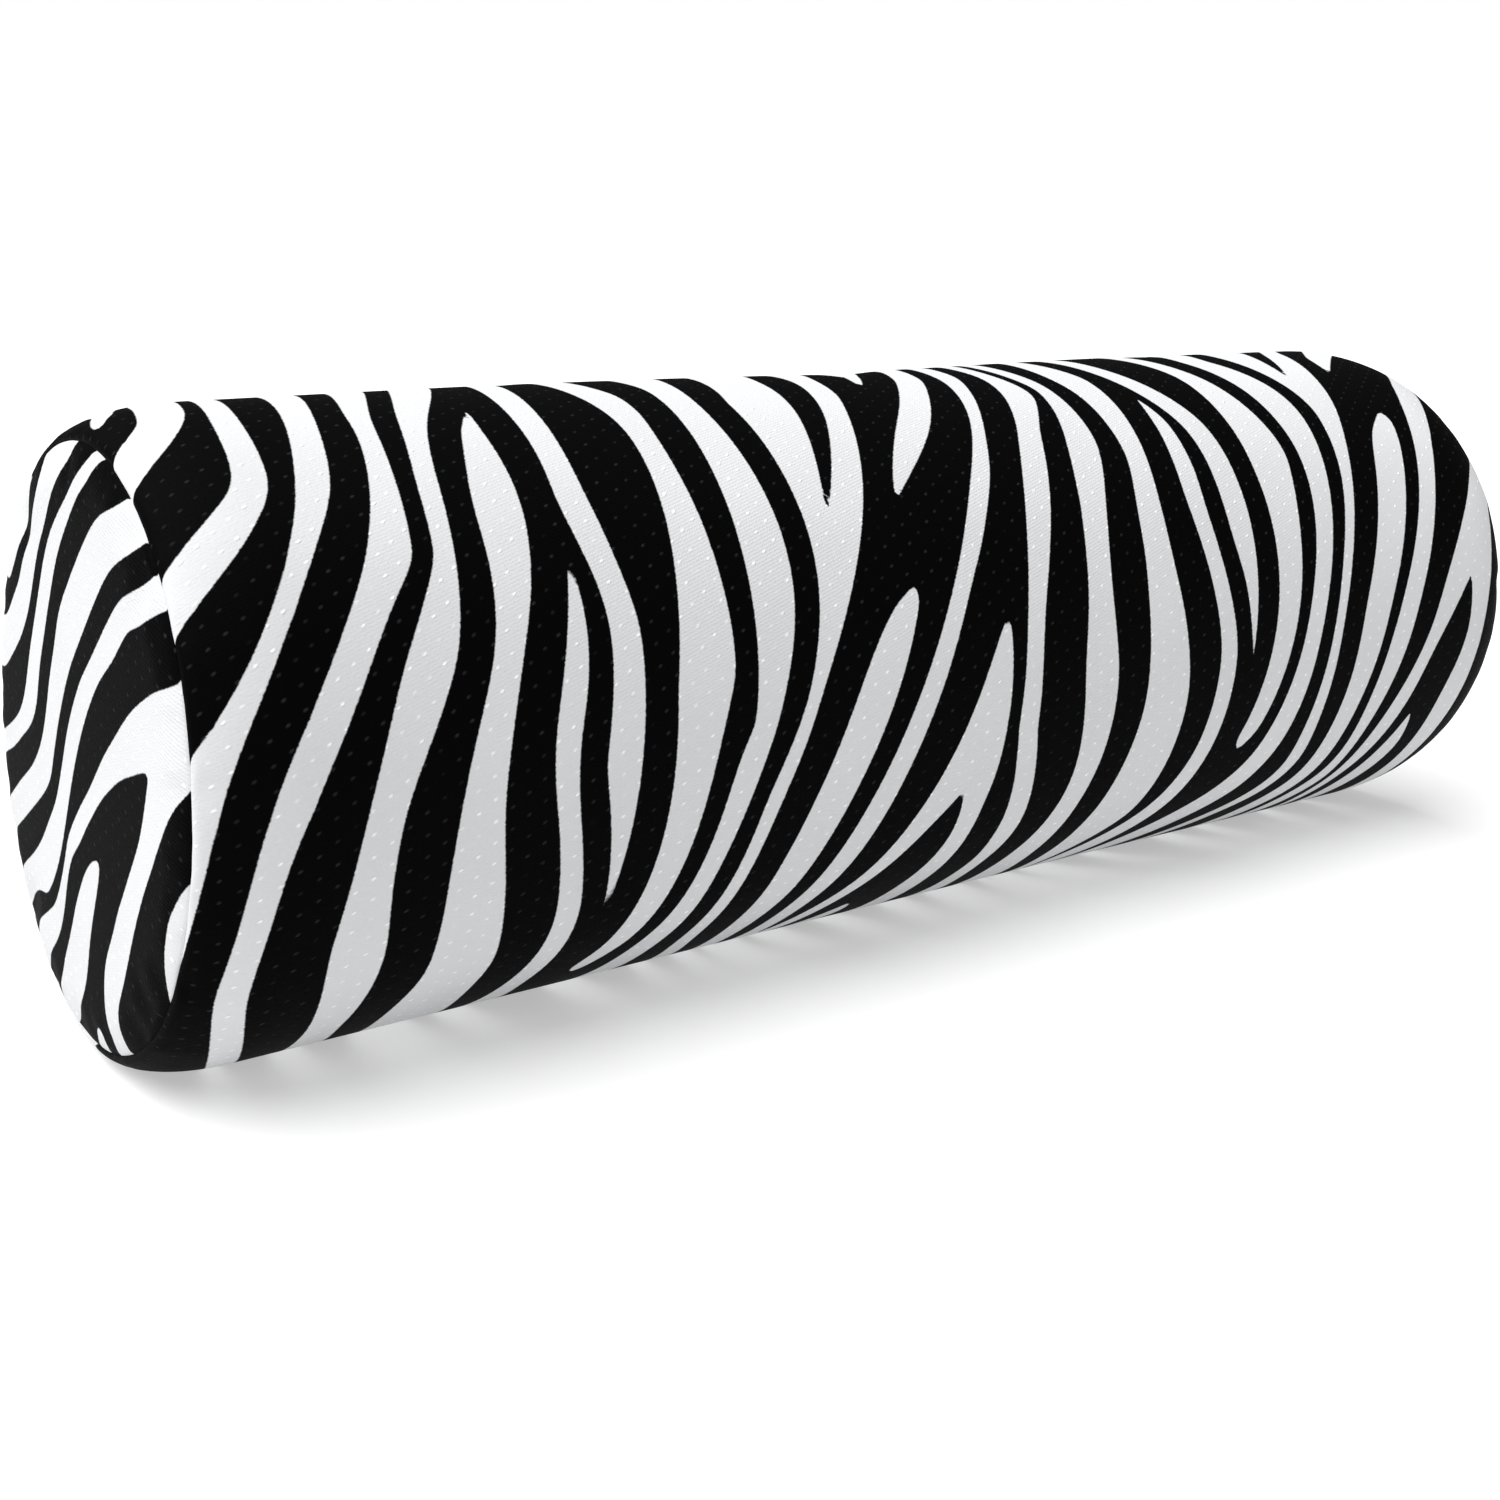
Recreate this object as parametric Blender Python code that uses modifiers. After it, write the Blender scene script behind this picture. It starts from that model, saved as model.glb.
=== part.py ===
"""Bolster pillow: a foam roll in a sewn liner, inside a zipped cover of printed knit.

Metres, +Z up. The roll lies along X on the plane z = 0, and the origin is under its middle.
Its front is towards -Y. The zip runs along the back, and its slider is closed at the +X end.
"""

import math

import bmesh
import bpy
from mathutils import Matrix, Vector

# The roll, over the cover
ROLL_DIAMETER = 0.150
ROLL_LENGTH = 0.420  # between the two end seams
SHOULDER_LENGTH = 0.023  # where the cover rounds in towards each end seam
SEAM_INSET = 0.007  # how far the end seam is drawn in below the cover's outside
END_CROWN = 0.0025  # how far each end panel swells past its seam
REST_SINK = 0.0025  # how far the foam gives where the roll lies on a surface
END_LEAN = math.radians(3.8)  # of the left end, as the stuffed roll lies

# Cloths, and the clearance between pieces that touch
COVER_CLOTH = 0.0012
LINER_CLOTH = 0.0006
TAPE_CLOTH = 0.0006
CLEARANCE = 0.0003

# The zip, a nylon coil on two woven tapes
ZIP_ELEVATION = math.radians(28)  # above the horizontal, on the roll's back
ZIP_END_MARGIN = 0.027  # sewn shut between each shoulder and the opening
OPENING_CLEARANCE = 0.0012  # on each side of the slider
TAPE_WIDTH = 0.0140
TAPE_TAIL = 0.010  # tape sewn in past each end of the opening
COIL_WIDTH = 0.0025
COIL_HEIGHT = 0.0019
COIL_PITCH = 0.0032
COIL_END_GAP = 0.0060  # from the coil's end to the end of the opening
STOP_LENGTH = 0.0025

# The slider and its pull, die castings
SLIDER_LENGTH = 0.0130
SLIDER_PLATE = 0.0010
SLIDER_WALL = 0.0009
SLIDER_PLAY = 0.0005  # between the slider and the coil
SLIDER_SHOULDER = 0.0004  # how much wider the slider is at its mouths
NECK_WIDTH = 0.0010
NECK_LENGTH = 0.0032
NECK_SETBACK = 0.0012  # from the slider's front end
HOOP_WIDTH = 0.0020
HOOP_BAR = 0.0010
PULL_LENGTH = 0.0240
PULL_WIDTH = 0.0060
PULL_THICKNESS = 0.0010
PULL_BAR = 0.0012  # the end of the eye, which lies under the hoop
PULL_ARM = 0.0012  # each side of the eye
PULL_PLAY = 0.0004

# Threads
THREAD_RIDGE = 0.0007
STITCH_PITCH = 0.0040
STITCH_SETBACK = 0.0020  # from the opening's edge to the stitch line
TACK_LENGTH = 0.0022
OVERLOCK_WIDTH = 0.0060

# Facets
TURN_STEPS = 60
SHOULDER_STEPS = 5
CROWN_STEPS = 3
STRIP_STEPS = 6
ROD_WAIST = 0.82  # a ridged rod's width between its ridges

JOIN = 0.0002  # how far shapes run into each other where a union joins them

# Sizes that follow from those above
OUTER_RADIUS = ROLL_DIAMETER / 2
AXIS_HEIGHT = OUTER_RADIUS - REST_SINK
HALF_LENGTH = ROLL_LENGTH / 2
TAPE_DEPTH = COVER_CLOTH + CLEARANCE
LINER_DEPTH = TAPE_DEPTH + TAPE_CLOTH + CLEARANCE
CORE_DEPTH = LINER_DEPTH + LINER_CLOTH + CLEARANCE

NECK_GAP = NECK_WIDTH + 2 * SLIDER_PLAY  # between the two rows of coil
CHAIN_WIDTH = NECK_GAP + 2 * COIL_WIDTH
SLIDER_WIDTH = CHAIN_WIDTH + 2 * (SLIDER_PLAY + SLIDER_WALL + JOIN)
MOUTH_WIDTH = SLIDER_WIDTH + 2 * SLIDER_SHOULDER
OPENING_WIDTH = MOUTH_WIDTH + 2 * OPENING_CLEARANCE
OPENING_LENGTH = ROLL_LENGTH - 2 * (SHOULDER_LENGTH + ZIP_END_MARGIN)
COIL_LENGTH = OPENING_LENGTH - 2 * COIL_END_GAP

TAPE_TOP = OUTER_RADIUS - TAPE_DEPTH
TAPE_UNDER = TAPE_TOP - TAPE_CLOTH
COIL_FOOT = TAPE_TOP + CLEARANCE
COIL_TOP = COIL_FOOT + COIL_HEIGHT
UPPER_PLATE = COIL_TOP + SLIDER_PLAY
PLATE_TOP = UPPER_PLATE + SLIDER_PLATE
LOWER_PLATE = TAPE_UNDER - SLIDER_PLAY - SLIDER_PLATE
ZIP_PRESS = LOWER_PLATE - SLIDER_PLAY  # the liner lies flat this far from the roll's axis

PULL_SWEEP = math.hypot(PULL_BAR, PULL_THICKNESS) / 2  # the bar's corner, as it turns
HINGE_HEIGHT = PLATE_TOP + PULL_PLAY + PULL_SWEEP
HOOP_INNER_TOP = HINGE_HEIGHT + PULL_SWEEP + PULL_PLAY
HOOP_TOP = HOOP_INNER_TOP + HOOP_BAR
HOOP_HALF_HOLE = PULL_SWEEP + 2 * PULL_PLAY
HOOP_HALF_LENGTH = HOOP_HALF_HOLE + HOOP_BAR
EYE_REACH = math.hypot(HOOP_HALF_LENGTH, HOOP_TOP - HINGE_HEIGHT) + PULL_PLAY
EYE_WIDTH = HOOP_WIDTH + 2 * PULL_PLAY
EYE_END_WIDTH = EYE_WIDTH + 2 * PULL_ARM
SLIDER_REST = COIL_LENGTH / 2 - SLIDER_LENGTH / 2 - SLIDER_PLAY


def clear_scene():
    for old in list(bpy.data.objects):
        bpy.data.objects.remove(old, do_unlink=True)


def new_collection(name):
    made = bpy.data.collections.new(name)
    bpy.context.scene.collection.children.link(made)
    return made


def new_material(name, colour, roughness, metallic=0.0):
    made = bpy.data.materials.new(name)
    made.use_nodes = True
    shader = made.node_tree.nodes["Principled BSDF"]
    shader.inputs["Base Color"].default_value = (*colour, 1.0)
    shader.inputs["Roughness"].default_value = roughness
    shader.inputs["Metallic"].default_value = metallic
    return made


def new_empty(name, location, parent=None, tilt=0.0):
    made = bpy.data.objects.new(name, None)
    made.location = location
    made.rotation_euler = (tilt, 0, 0)
    made.parent = parent
    PILLOW.objects.link(made)
    return made


def new_object(name, mesh, material, parent, location=(0, 0, 0)):
    made = bpy.data.objects.new(name, mesh)
    made.data.materials.clear()
    made.data.materials.append(material)
    made.parent = parent
    made.location = location
    PILLOW.objects.link(made)
    made.data.shade_smooth()
    made.data.set_sharp_from_angle(angle=math.radians(35))
    return made


def taken_mesh(obj, name):
    """The object's evaluated mesh, with a curve's loose caps welded. The object is removed."""
    graph = bpy.context.evaluated_depsgraph_get()
    mesh = bpy.data.meshes.new_from_object(obj.evaluated_get(graph))
    mesh.name = name
    work = bmesh.new()
    work.from_mesh(mesh)
    bmesh.ops.remove_doubles(work, verts=work.verts, dist=1e-6)
    work.to_mesh(mesh)
    work.free()
    bpy.data.objects.remove(obj, do_unlink=True)
    return mesh


def turned_mesh(name, points, start=0.0, sweep=2 * math.pi, steps=TURN_STEPS):
    """A surface turned about the roll's axis, from (x, radius) points that run towards +X.

    The turn starts at +Z and goes towards +Y.
    """
    line = bpy.data.meshes.new(name)
    spin = [(radius, 0, -x) for x, radius in points]
    line.from_pydata(spin, [(i, i + 1) for i in range(len(spin) - 1)], [])
    obj = bpy.data.objects.new(name, line)
    PILLOW.objects.link(obj)
    turn = obj.modifiers.new("Turn", "SCREW")
    turn.axis = "Z"
    turn.angle = sweep
    turn.steps = turn.render_steps = steps
    turn.use_merge_vertices = True
    turn.merge_threshold = 1e-5
    mesh = taken_mesh(obj, name)
    mesh.transform(Matrix.Rotation(start, 4, "Z"))
    mesh.transform(Matrix.Rotation(-math.pi / 2, 4, "Y"))
    return mesh


def press(mesh, normal, distance):
    """Flattens the mesh against a plane this far from the roll's axis."""
    for vertex in mesh.vertices:
        proud = vertex.co.dot(normal) - distance
        if proud > 0:
            vertex.co -= normal * proud


def thicken(obj, thickness):
    wall = obj.modifiers.new("Cloth", "SOLIDIFY")
    wall.thickness = thickness
    wall.offset = -1
    wall.use_even_offset = True
    return obj


def soften(obj, width, segments=2):
    edges = obj.modifiers.new("Edges", "BEVEL")
    edges.width = width
    edges.segments = segments
    edges.limit_method = "ANGLE"
    edges.angle_limit = math.radians(40)
    return obj


def block_mesh(name, size, centre=(0, 0, 0)):
    work = bmesh.new()
    bmesh.ops.create_cube(work, size=1.0)
    bmesh.ops.scale(work, verts=work.verts, vec=size)
    bmesh.ops.translate(work, verts=work.verts, vec=centre)
    mesh = bpy.data.meshes.new(name)
    work.to_mesh(mesh)
    work.free()
    return mesh


def plate_mesh(name, outlines, thickness):
    """A flat plate in XY from closed outlines of (x, y) points, the later ones being holes."""
    curve = bpy.data.curves.new(name, "CURVE")
    curve.dimensions = "2D"
    curve.fill_mode = "BOTH"
    curve.extrude = thickness / 2
    for outline in outlines:
        spline = curve.splines.new("POLY")
        spline.points.add(len(outline) - 1)
        for point, place in zip(spline.points, outline):
            point.co = (*place, 0, 1)
        spline.use_cyclic_u = True
    obj = bpy.data.objects.new(name, curve)
    PILLOW.objects.link(obj)
    return taken_mesh(obj, name)


def cutter(name, mesh, parent):
    made = bpy.data.objects.new(name, mesh)
    made.parent = parent
    made.hide_render = True
    made.display_type = "WIRE"
    CUTTERS.objects.link(made)
    return made


def combine(obj, others, operation):
    for other in others:
        change = obj.modifiers.new(other.name, "BOOLEAN")
        change.operation = operation
        change.object = other
        change.solver = "EXACT"
    return obj


def wall_outline(depth):
    """The long wall's (x, radius) points, left seam to right seam, this deep below the outside."""
    middle = OUTER_RADIUS - depth
    end = HALF_LENGTH - depth
    shoulder = []
    for step in range(SHOULDER_STEPS + 1):
        turn = math.pi / 2 * step / SHOULDER_STEPS
        x = end - SHOULDER_LENGTH * (1 - math.sin(turn))
        shoulder.append((x, middle - SEAM_INSET * (1 - math.cos(turn))))
    return [(-x, radius) for x, radius in reversed(shoulder)] + shoulder


def crown_outline(depth, side):
    """An end's (x, radius) points, which run towards +X. side is -1 on the left and 1 on the right."""
    rim = OUTER_RADIUS - SEAM_INSET - depth
    end = HALF_LENGTH - depth
    points = []
    for step in range(CROWN_STEPS + 1):
        share = step / CROWN_STEPS
        points.append((side * (end + END_CROWN * (1 - share**2)), rim * share))
    return points if side < 0 else points[::-1]


def panel_outline(depth, side, cloth):
    """An end panel's points: the crown, cut back at its rim so that it clears the long wall's edge."""
    points = crown_outline(depth, side)
    rim = 0 if side > 0 else -1
    x, radius = points[rim]
    points[rim] = (x, radius - CLEARANCE - cloth / 2)
    return points


def lean(mesh):
    """Leans the left end, whose top lies nearer the middle than its bottom. Straight cloth is unmoved."""
    for vertex in mesh.vertices:
        if vertex.co.x < 0:
            vertex.co.x += vertex.co.z * math.tan(END_LEAN)
    return mesh


def settle(mesh, depth):
    """Rests a layer that lies this deep on the ground, and leans its left end."""
    press(mesh, Vector((0, 0, -1)), AXIS_HEIGHT - depth)
    return lean(mesh)


def make_core():
    """The foam roll, pressed flat where it lies and under the zip."""
    left, right = crown_outline(CORE_DEPTH, -1), crown_outline(CORE_DEPTH, 1)
    mesh = turned_mesh("foam_core", left[:-1] + wall_outline(CORE_DEPTH) + right[1:])
    press(mesh, ZIP_NORMAL, ZIP_PRESS - LINER_CLOTH - CLEARANCE)
    settle(mesh, CORE_DEPTH)
    new_object("foam_core", mesh, FOAM, ROLL)


def make_liner():
    mesh = turned_mesh("liner_body", wall_outline(LINER_DEPTH))
    press(mesh, ZIP_NORMAL, ZIP_PRESS)
    settle(mesh, LINER_DEPTH)
    thicken(new_object("liner_body", mesh, LINER, ROLL), LINER_CLOTH)
    for name, side in (("liner_end_left", -1), ("liner_end_right", 1)):
        mesh = lean(turned_mesh(name, panel_outline(LINER_DEPTH, side, LINER_CLOTH)))
        thicken(new_object(name, mesh, LINER, ROLL), LINER_CLOTH)


def make_cover():
    mesh = settle(turned_mesh("cover_body", wall_outline(0)), 0)
    body = thicken(new_object("cover_body", mesh, PRINT, ROLL), COVER_CLOTH)
    size = (OPENING_LENGTH, OPENING_WIDTH, 4 * COVER_CLOTH)
    hole = block_mesh("zip_opening", size, (0, 0, OUTER_RADIUS - COVER_CLOTH / 2))
    combine(body, [cutter("zip_opening", hole, ZIP)], "DIFFERENCE")
    for name, side in (("cover_end_left", -1), ("cover_end_right", 1)):
        mesh = lean(turned_mesh(name, panel_outline(0, side, COVER_CLOTH)))
        thicken(new_object(name, mesh, PRINT, ROLL), COVER_CLOTH)


def make_overlocks():
    """The overlocked allowance of each end seam: a band inside it that lies on the liner's shoulder."""
    for name, side in (("end_seam_left", -1), ("end_seam_right", 1)):
        half = wall_outline(TAPE_DEPTH)[-SHOULDER_STEPS - 1 :]
        length = 0.0
        band = [half[-1]]
        for outer, inner in zip(half[:0:-1], half[-2::-1]):
            length += math.dist(outer, inner)
            band.append(inner)
            if length >= OVERLOCK_WIDTH:
                break
        band = [(-x, radius) for x, radius in band] if side < 0 else band[::-1]
        mesh = lean(turned_mesh(name, band))
        thicken(new_object(name, mesh, THREAD, ROLL), TAPE_CLOTH)


def arc_strip(name, length, across, width, radius, thickness, material, middle=0.0):
    """A strip along the zip, bent round the roll, that starts this far across the zip line."""
    points = [(middle - length / 2, radius), (middle + length / 2, radius)]
    mesh = turned_mesh(name, points, across / radius, width / radius, STRIP_STEPS)
    return thicken(new_object(name, mesh, material, ZIP), thickness)


def ridged_rod(name, length, pitch, width, height, across, foot, material):
    """A straight ridged rod along the zip: a row of coil, or a row of stitches."""
    count = round(length / pitch)
    curve = bpy.data.curves.new(name, "CURVE")
    curve.dimensions = "3D"
    curve.bevel_depth = 0.5
    curve.bevel_resolution = 1
    curve.use_fill_caps = True
    spline = curve.splines.new("POLY")
    spline.points.add(2 * count)
    for index, point in enumerate(spline.points):
        point.co = ((index / (2 * count) - 0.5) * length, 0, 0, 1)
        point.radius = ROD_WAIST if index % 2 == 0 else 1.0
    rod = bpy.data.objects.new(name, curve)
    PILLOW.objects.link(rod)
    mesh = taken_mesh(rod, name)
    mesh.transform(Matrix.Diagonal((1, width, height, 1)))
    mesh.transform(Matrix.Translation((0, across, foot + height / 2)))
    return new_object(name, mesh, material, ZIP)


def make_zip():
    sides = (("upper", -1), ("lower", 1))  # the zip's own +Y runs down the roll's back
    for name, side in sides:
        edge = NECK_GAP / 2
        inner = edge if side > 0 else -edge - TAPE_WIDTH
        length = OPENING_LENGTH + 2 * TAPE_TAIL
        arc_strip("zipper_tape_" + name, length, inner, TAPE_WIDTH, TAPE_TOP, TAPE_CLOTH, TAPE)
        row = side * (edge + COIL_WIDTH / 2)
        size = (COIL_WIDTH, COIL_HEIGHT)
        ridged_rod("zipper_coil_" + name, COIL_LENGTH, COIL_PITCH, *size, row, COIL_FOOT, TAPE)
        line = side * (OPENING_WIDTH / 2 + STITCH_SETBACK)
        foot = math.sqrt(OUTER_RADIUS**2 - line**2) + CLEARANCE
        size = (THREAD_RIDGE, THREAD_RIDGE)
        ridged_rod("topstitch_" + name, OPENING_LENGTH, STITCH_PITCH, *size, line, foot, THREAD)
        stop = (STOP_LENGTH, COIL_WIDTH, COIL_HEIGHT)
        place = (COIL_LENGTH / 2 + CLEARANCE + STOP_LENGTH / 2, row, COIL_FOOT + COIL_HEIGHT / 2)
        name = "zipper_top_stop_" + name
        soften(new_object(name, block_mesh(name, stop), METAL, ZIP, place), 0.0003)
    stop = (STOP_LENGTH, CHAIN_WIDTH, COIL_HEIGHT)
    place = (-COIL_LENGTH / 2 - CLEARANCE - STOP_LENGTH / 2, 0, COIL_FOOT + COIL_HEIGHT / 2)
    name = "zipper_bottom_stop"
    soften(new_object(name, block_mesh(name, stop), METAL, ZIP, place), 0.0003)
    for name, side in (("bar_tack_left", -1), ("bar_tack_right", 1)):
        radius = OUTER_RADIUS + CLEARANCE + THREAD_RIDGE
        middle = side * (OPENING_LENGTH / 2 + TACK_LENGTH)
        size = (-OPENING_WIDTH / 2, OPENING_WIDTH, radius, THREAD_RIDGE)
        arc_strip(name, TACK_LENGTH, *size, THREAD, middle)


def make_slider():
    """The slider's two plates, with the neck between them and the hoop on top."""
    half = SLIDER_LENGTH / 2
    tail = SLIDER_WIDTH / 2
    mouth = MOUTH_WIDTH / 2
    outline = [
        (-half, -tail + 0.0008),
        (-half, tail - 0.0008),
        (-half + 0.0016, tail),
        (0, tail),
        (half - 0.0030, mouth),
        (half - 0.0010, mouth - 0.0007),
        (half, mouth - 0.0026),
        (half, -mouth + 0.0026),
        (half - 0.0010, -mouth + 0.0007),
        (half - 0.0030, -mouth),
        (0, -tail),
        (-half + 0.0016, -tail),
    ]
    mesh = plate_mesh("zipper_slider", [outline], SLIDER_PLATE)
    mesh.transform(Matrix.Translation((0, 0, UPPER_PLATE + SLIDER_PLATE / 2)))
    slider = new_object("zipper_slider", mesh, METAL, SLIDER)
    mesh = plate_mesh("lower_plate", [outline], SLIDER_PLATE)
    mesh.transform(Matrix.Translation((0, 0, LOWER_PLATE + SLIDER_PLATE / 2)))
    added = [cutter("lower_plate", mesh, SLIDER)]
    height = UPPER_PLATE - LOWER_PLATE - SLIDER_PLATE + 2 * JOIN
    middle = (UPPER_PLATE + LOWER_PLATE + SLIDER_PLATE) / 2
    size = (NECK_LENGTH, NECK_WIDTH, height)
    place = (half - NECK_SETBACK - NECK_LENGTH / 2, 0, middle)
    added.append(cutter("neck", block_mesh("neck", size, place), SLIDER))
    foot = TAPE_TOP + SLIDER_PLAY
    for name, side in (("wall_upper", 1), ("wall_lower", -1)):
        size = (SLIDER_LENGTH * 0.7, SLIDER_WALL, UPPER_PLATE - foot + JOIN)
        place = (-half * 0.12, side * (tail - JOIN - SLIDER_WALL / 2), (UPPER_PLATE + foot + JOIN) / 2)
        added.append(cutter(name, block_mesh(name, size, place), SLIDER))
    size = (2 * HOOP_HALF_LENGTH, HOOP_WIDTH, HOOP_TOP - PLATE_TOP + JOIN)
    place = (0, 0, (HOOP_TOP + PLATE_TOP - JOIN) / 2)
    hoop = cutter("hoop", block_mesh("hoop", size, place), SLIDER)
    size = (2 * HOOP_HALF_HOLE, 2 * HOOP_WIDTH, HOOP_INNER_TOP - PLATE_TOP + 2 * JOIN)
    place = (0, 0, (HOOP_INNER_TOP + PLATE_TOP) / 2 - JOIN)
    hole = cutter("hoop_hole", block_mesh("hoop_hole", size, place), SLIDER)
    combine(hoop, [hole], "DIFFERENCE")
    combine(slider, added + [hoop], "UNION")


def make_pull():
    """The pull, which lies along -X from the bar that runs under the slider's hoop."""
    bar = PULL_BAR / 2
    tip = -PULL_LENGTH
    half = PULL_WIDTH / 2
    end = EYE_END_WIDTH / 2
    outline = [
        (bar, -end + 0.0004),
        (bar, end - 0.0004),
        (bar - 0.0004, end),
        (-EYE_REACH, end),
        (tip * 0.45, half * 0.72),
        (tip * 0.80, half),
        (tip * 0.94, half * 0.86),
        (tip, half * 0.40),
        (tip, -half * 0.40),
        (tip * 0.94, -half * 0.86),
        (tip * 0.80, -half),
        (tip * 0.45, -half * 0.72),
        (-EYE_REACH, -end),
        (bar - 0.0004, -end),
    ]
    eye = EYE_WIDTH / 2
    hole = [(-bar, -eye), (-bar, eye), (-EYE_REACH, eye), (-EYE_REACH, -eye)]
    mesh = plate_mesh("zipper_pull", [outline, hole], PULL_THICKNESS)
    new_object("zipper_pull", mesh, METAL, HINGE)


clear_scene()
PILLOW = new_collection("bolster_pillow")
CUTTERS = new_collection("cutters")
PRINT = new_material("printed_knit", (0.75, 0.75, 0.75), 0.75)
LINER = new_material("liner_cloth", (0.82, 0.82, 0.80), 0.9)
FOAM = new_material("foam", (0.90, 0.86, 0.70), 0.95)
TAPE = new_material("zip_nylon", (0.02, 0.02, 0.02), 0.6)
THREAD = new_material("thread", (0.03, 0.03, 0.03), 0.7)
METAL = new_material("zip_metal", (0.35, 0.35, 0.36), 0.3, 1.0)

ROLL = new_empty("roll_axis", (0, 0, AXIS_HEIGHT))
ZIP = new_empty("zip_line", (0, 0, 0), ROLL, ZIP_ELEVATION - math.pi / 2)
SLIDER = new_empty("slider_travel", (SLIDER_REST, 0, 0), ZIP)
HINGE = new_empty("pull_hinge", (0, 0, HINGE_HEIGHT), SLIDER)
ZIP_NORMAL = Vector((0, math.cos(ZIP_ELEVATION), math.sin(ZIP_ELEVATION)))

make_core()
make_liner()
make_cover()
make_overlocks()
make_zip()
make_slider()
make_pull()
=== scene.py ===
import math

import bpy
import numpy as np
from mathutils import Matrix, Vector


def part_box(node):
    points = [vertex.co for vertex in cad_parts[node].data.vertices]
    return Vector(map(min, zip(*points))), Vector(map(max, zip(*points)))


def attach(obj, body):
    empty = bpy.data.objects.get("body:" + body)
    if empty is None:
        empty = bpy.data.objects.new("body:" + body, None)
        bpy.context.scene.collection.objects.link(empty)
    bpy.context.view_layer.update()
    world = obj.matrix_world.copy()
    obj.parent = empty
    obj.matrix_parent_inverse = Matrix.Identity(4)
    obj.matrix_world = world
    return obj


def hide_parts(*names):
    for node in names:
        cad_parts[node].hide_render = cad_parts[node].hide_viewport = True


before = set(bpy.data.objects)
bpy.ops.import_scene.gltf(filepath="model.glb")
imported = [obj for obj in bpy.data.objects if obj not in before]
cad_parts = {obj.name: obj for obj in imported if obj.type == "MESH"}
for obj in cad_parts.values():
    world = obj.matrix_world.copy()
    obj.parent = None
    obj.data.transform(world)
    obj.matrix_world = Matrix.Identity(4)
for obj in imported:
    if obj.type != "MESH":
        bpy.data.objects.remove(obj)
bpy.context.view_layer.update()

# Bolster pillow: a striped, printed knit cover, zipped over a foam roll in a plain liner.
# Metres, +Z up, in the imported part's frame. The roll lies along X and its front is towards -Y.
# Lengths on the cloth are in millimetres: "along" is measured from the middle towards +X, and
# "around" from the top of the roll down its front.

scene = bpy.context.scene
bpy.ops.object.select_all(action="DESELECT")


# The camera looks down a little on the roll's front and on its left end.
wall_low, wall_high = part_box("cover_body")
ROLL_RADIUS = (wall_high.y - wall_low.y) / 2
AXIS_HEIGHT = wall_high.z - ROLL_RADIUS
HALF_LENGTH = wall_high.x
CAMERA_TURN = math.radians(-35.323)
CAMERA_RISE = math.radians(15.418)
CAMERA_ROLL = math.radians(0.5)
CAMERA_DISTANCE = 0.53895
CAMERA_ASIDE = (-0.02406, -0.03057)
CAMERA_LENS = 45.856

back = Vector((
    math.sin(CAMERA_TURN) * math.cos(CAMERA_RISE),
    -math.cos(CAMERA_TURN) * math.cos(CAMERA_RISE),
    math.sin(CAMERA_RISE),
))
level = Vector((math.cos(CAMERA_TURN), math.sin(CAMERA_TURN), 0))
camera_right = math.cos(CAMERA_ROLL) * level + math.sin(CAMERA_ROLL) * back.cross(level)
camera_up = back.cross(camera_right)
eye = back * CAMERA_DISTANCE + camera_right * CAMERA_ASIDE[0] + camera_up * CAMERA_ASIDE[1]
eye.z += AXIS_HEIGHT
camera = bpy.data.objects.new("camera", bpy.data.cameras.new("camera"))
camera.data.lens = CAMERA_LENS
camera.data.sensor_width = 36
camera.data.clip_start = 0.01
axes = Matrix((camera_right, camera_up, back)).transposed().to_4x4()
camera.matrix_world = Matrix.Translation(eye) @ axes
scene.collection.objects.link(camera)
scene.camera = camera


# A white sweep under the roll, one broad soft light from above on the left, and a white sky.
FLOOR_SIZE = 12.0
SKY_SEEN = 1.0
SKY_LIGHT = 0.28
KEY_STRENGTH = 4.95
KEY_SOFTNESS = math.radians(70)
KEY_FROM = (-0.46, 0.10, 1.0)
FLOOR_GLOW = 0.45  # the sweep is lit from behind too, so that shadows on it stay pale

bpy.ops.mesh.primitive_plane_add(size=FLOOR_SIZE)
floor = bpy.context.object
floor.name = "floor"
floor_white = bpy.data.materials.new("floor_white")
floor_white.use_nodes = True
shader = floor_white.node_tree.nodes["Principled BSDF"]
shader.inputs["Base Color"].default_value = (0.58, 0.58, 0.58, 1)
shader.inputs["Emission Color"].default_value = (1, 1, 1, 1)
shader.inputs["Emission Strength"].default_value = FLOOR_GLOW
shader.inputs["Roughness"].default_value = 0.9
shader.inputs["Specular IOR Level"].default_value = 0.1
floor.data.materials.append(floor_white)

sky = bpy.data.worlds.new("sky")
scene.world = sky
sky.use_nodes = True
nodes, links = sky.node_tree.nodes, sky.node_tree.links
ray = nodes.new("ShaderNodeLightPath")
seen = nodes.new("ShaderNodeMapRange")
seen.inputs["To Min"].default_value = SKY_LIGHT
seen.inputs["To Max"].default_value = SKY_SEEN
links.new(ray.outputs["Is Camera Ray"], seen.inputs["Value"])
links.new(seen.outputs["Result"], nodes["Background"].inputs["Strength"])
nodes["Background"].inputs["Color"].default_value = (1, 1, 1, 1)

key = bpy.data.objects.new("key", bpy.data.lights.new("key", "SUN"))
key.data.energy = KEY_STRENGTH
key.data.angle = KEY_SOFTNESS
key.rotation_euler = Vector(KEY_FROM).to_track_quat("Z", "Y").to_euler()
scene.collection.objects.link(key)
scene.view_settings.view_transform = "Standard"


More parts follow.
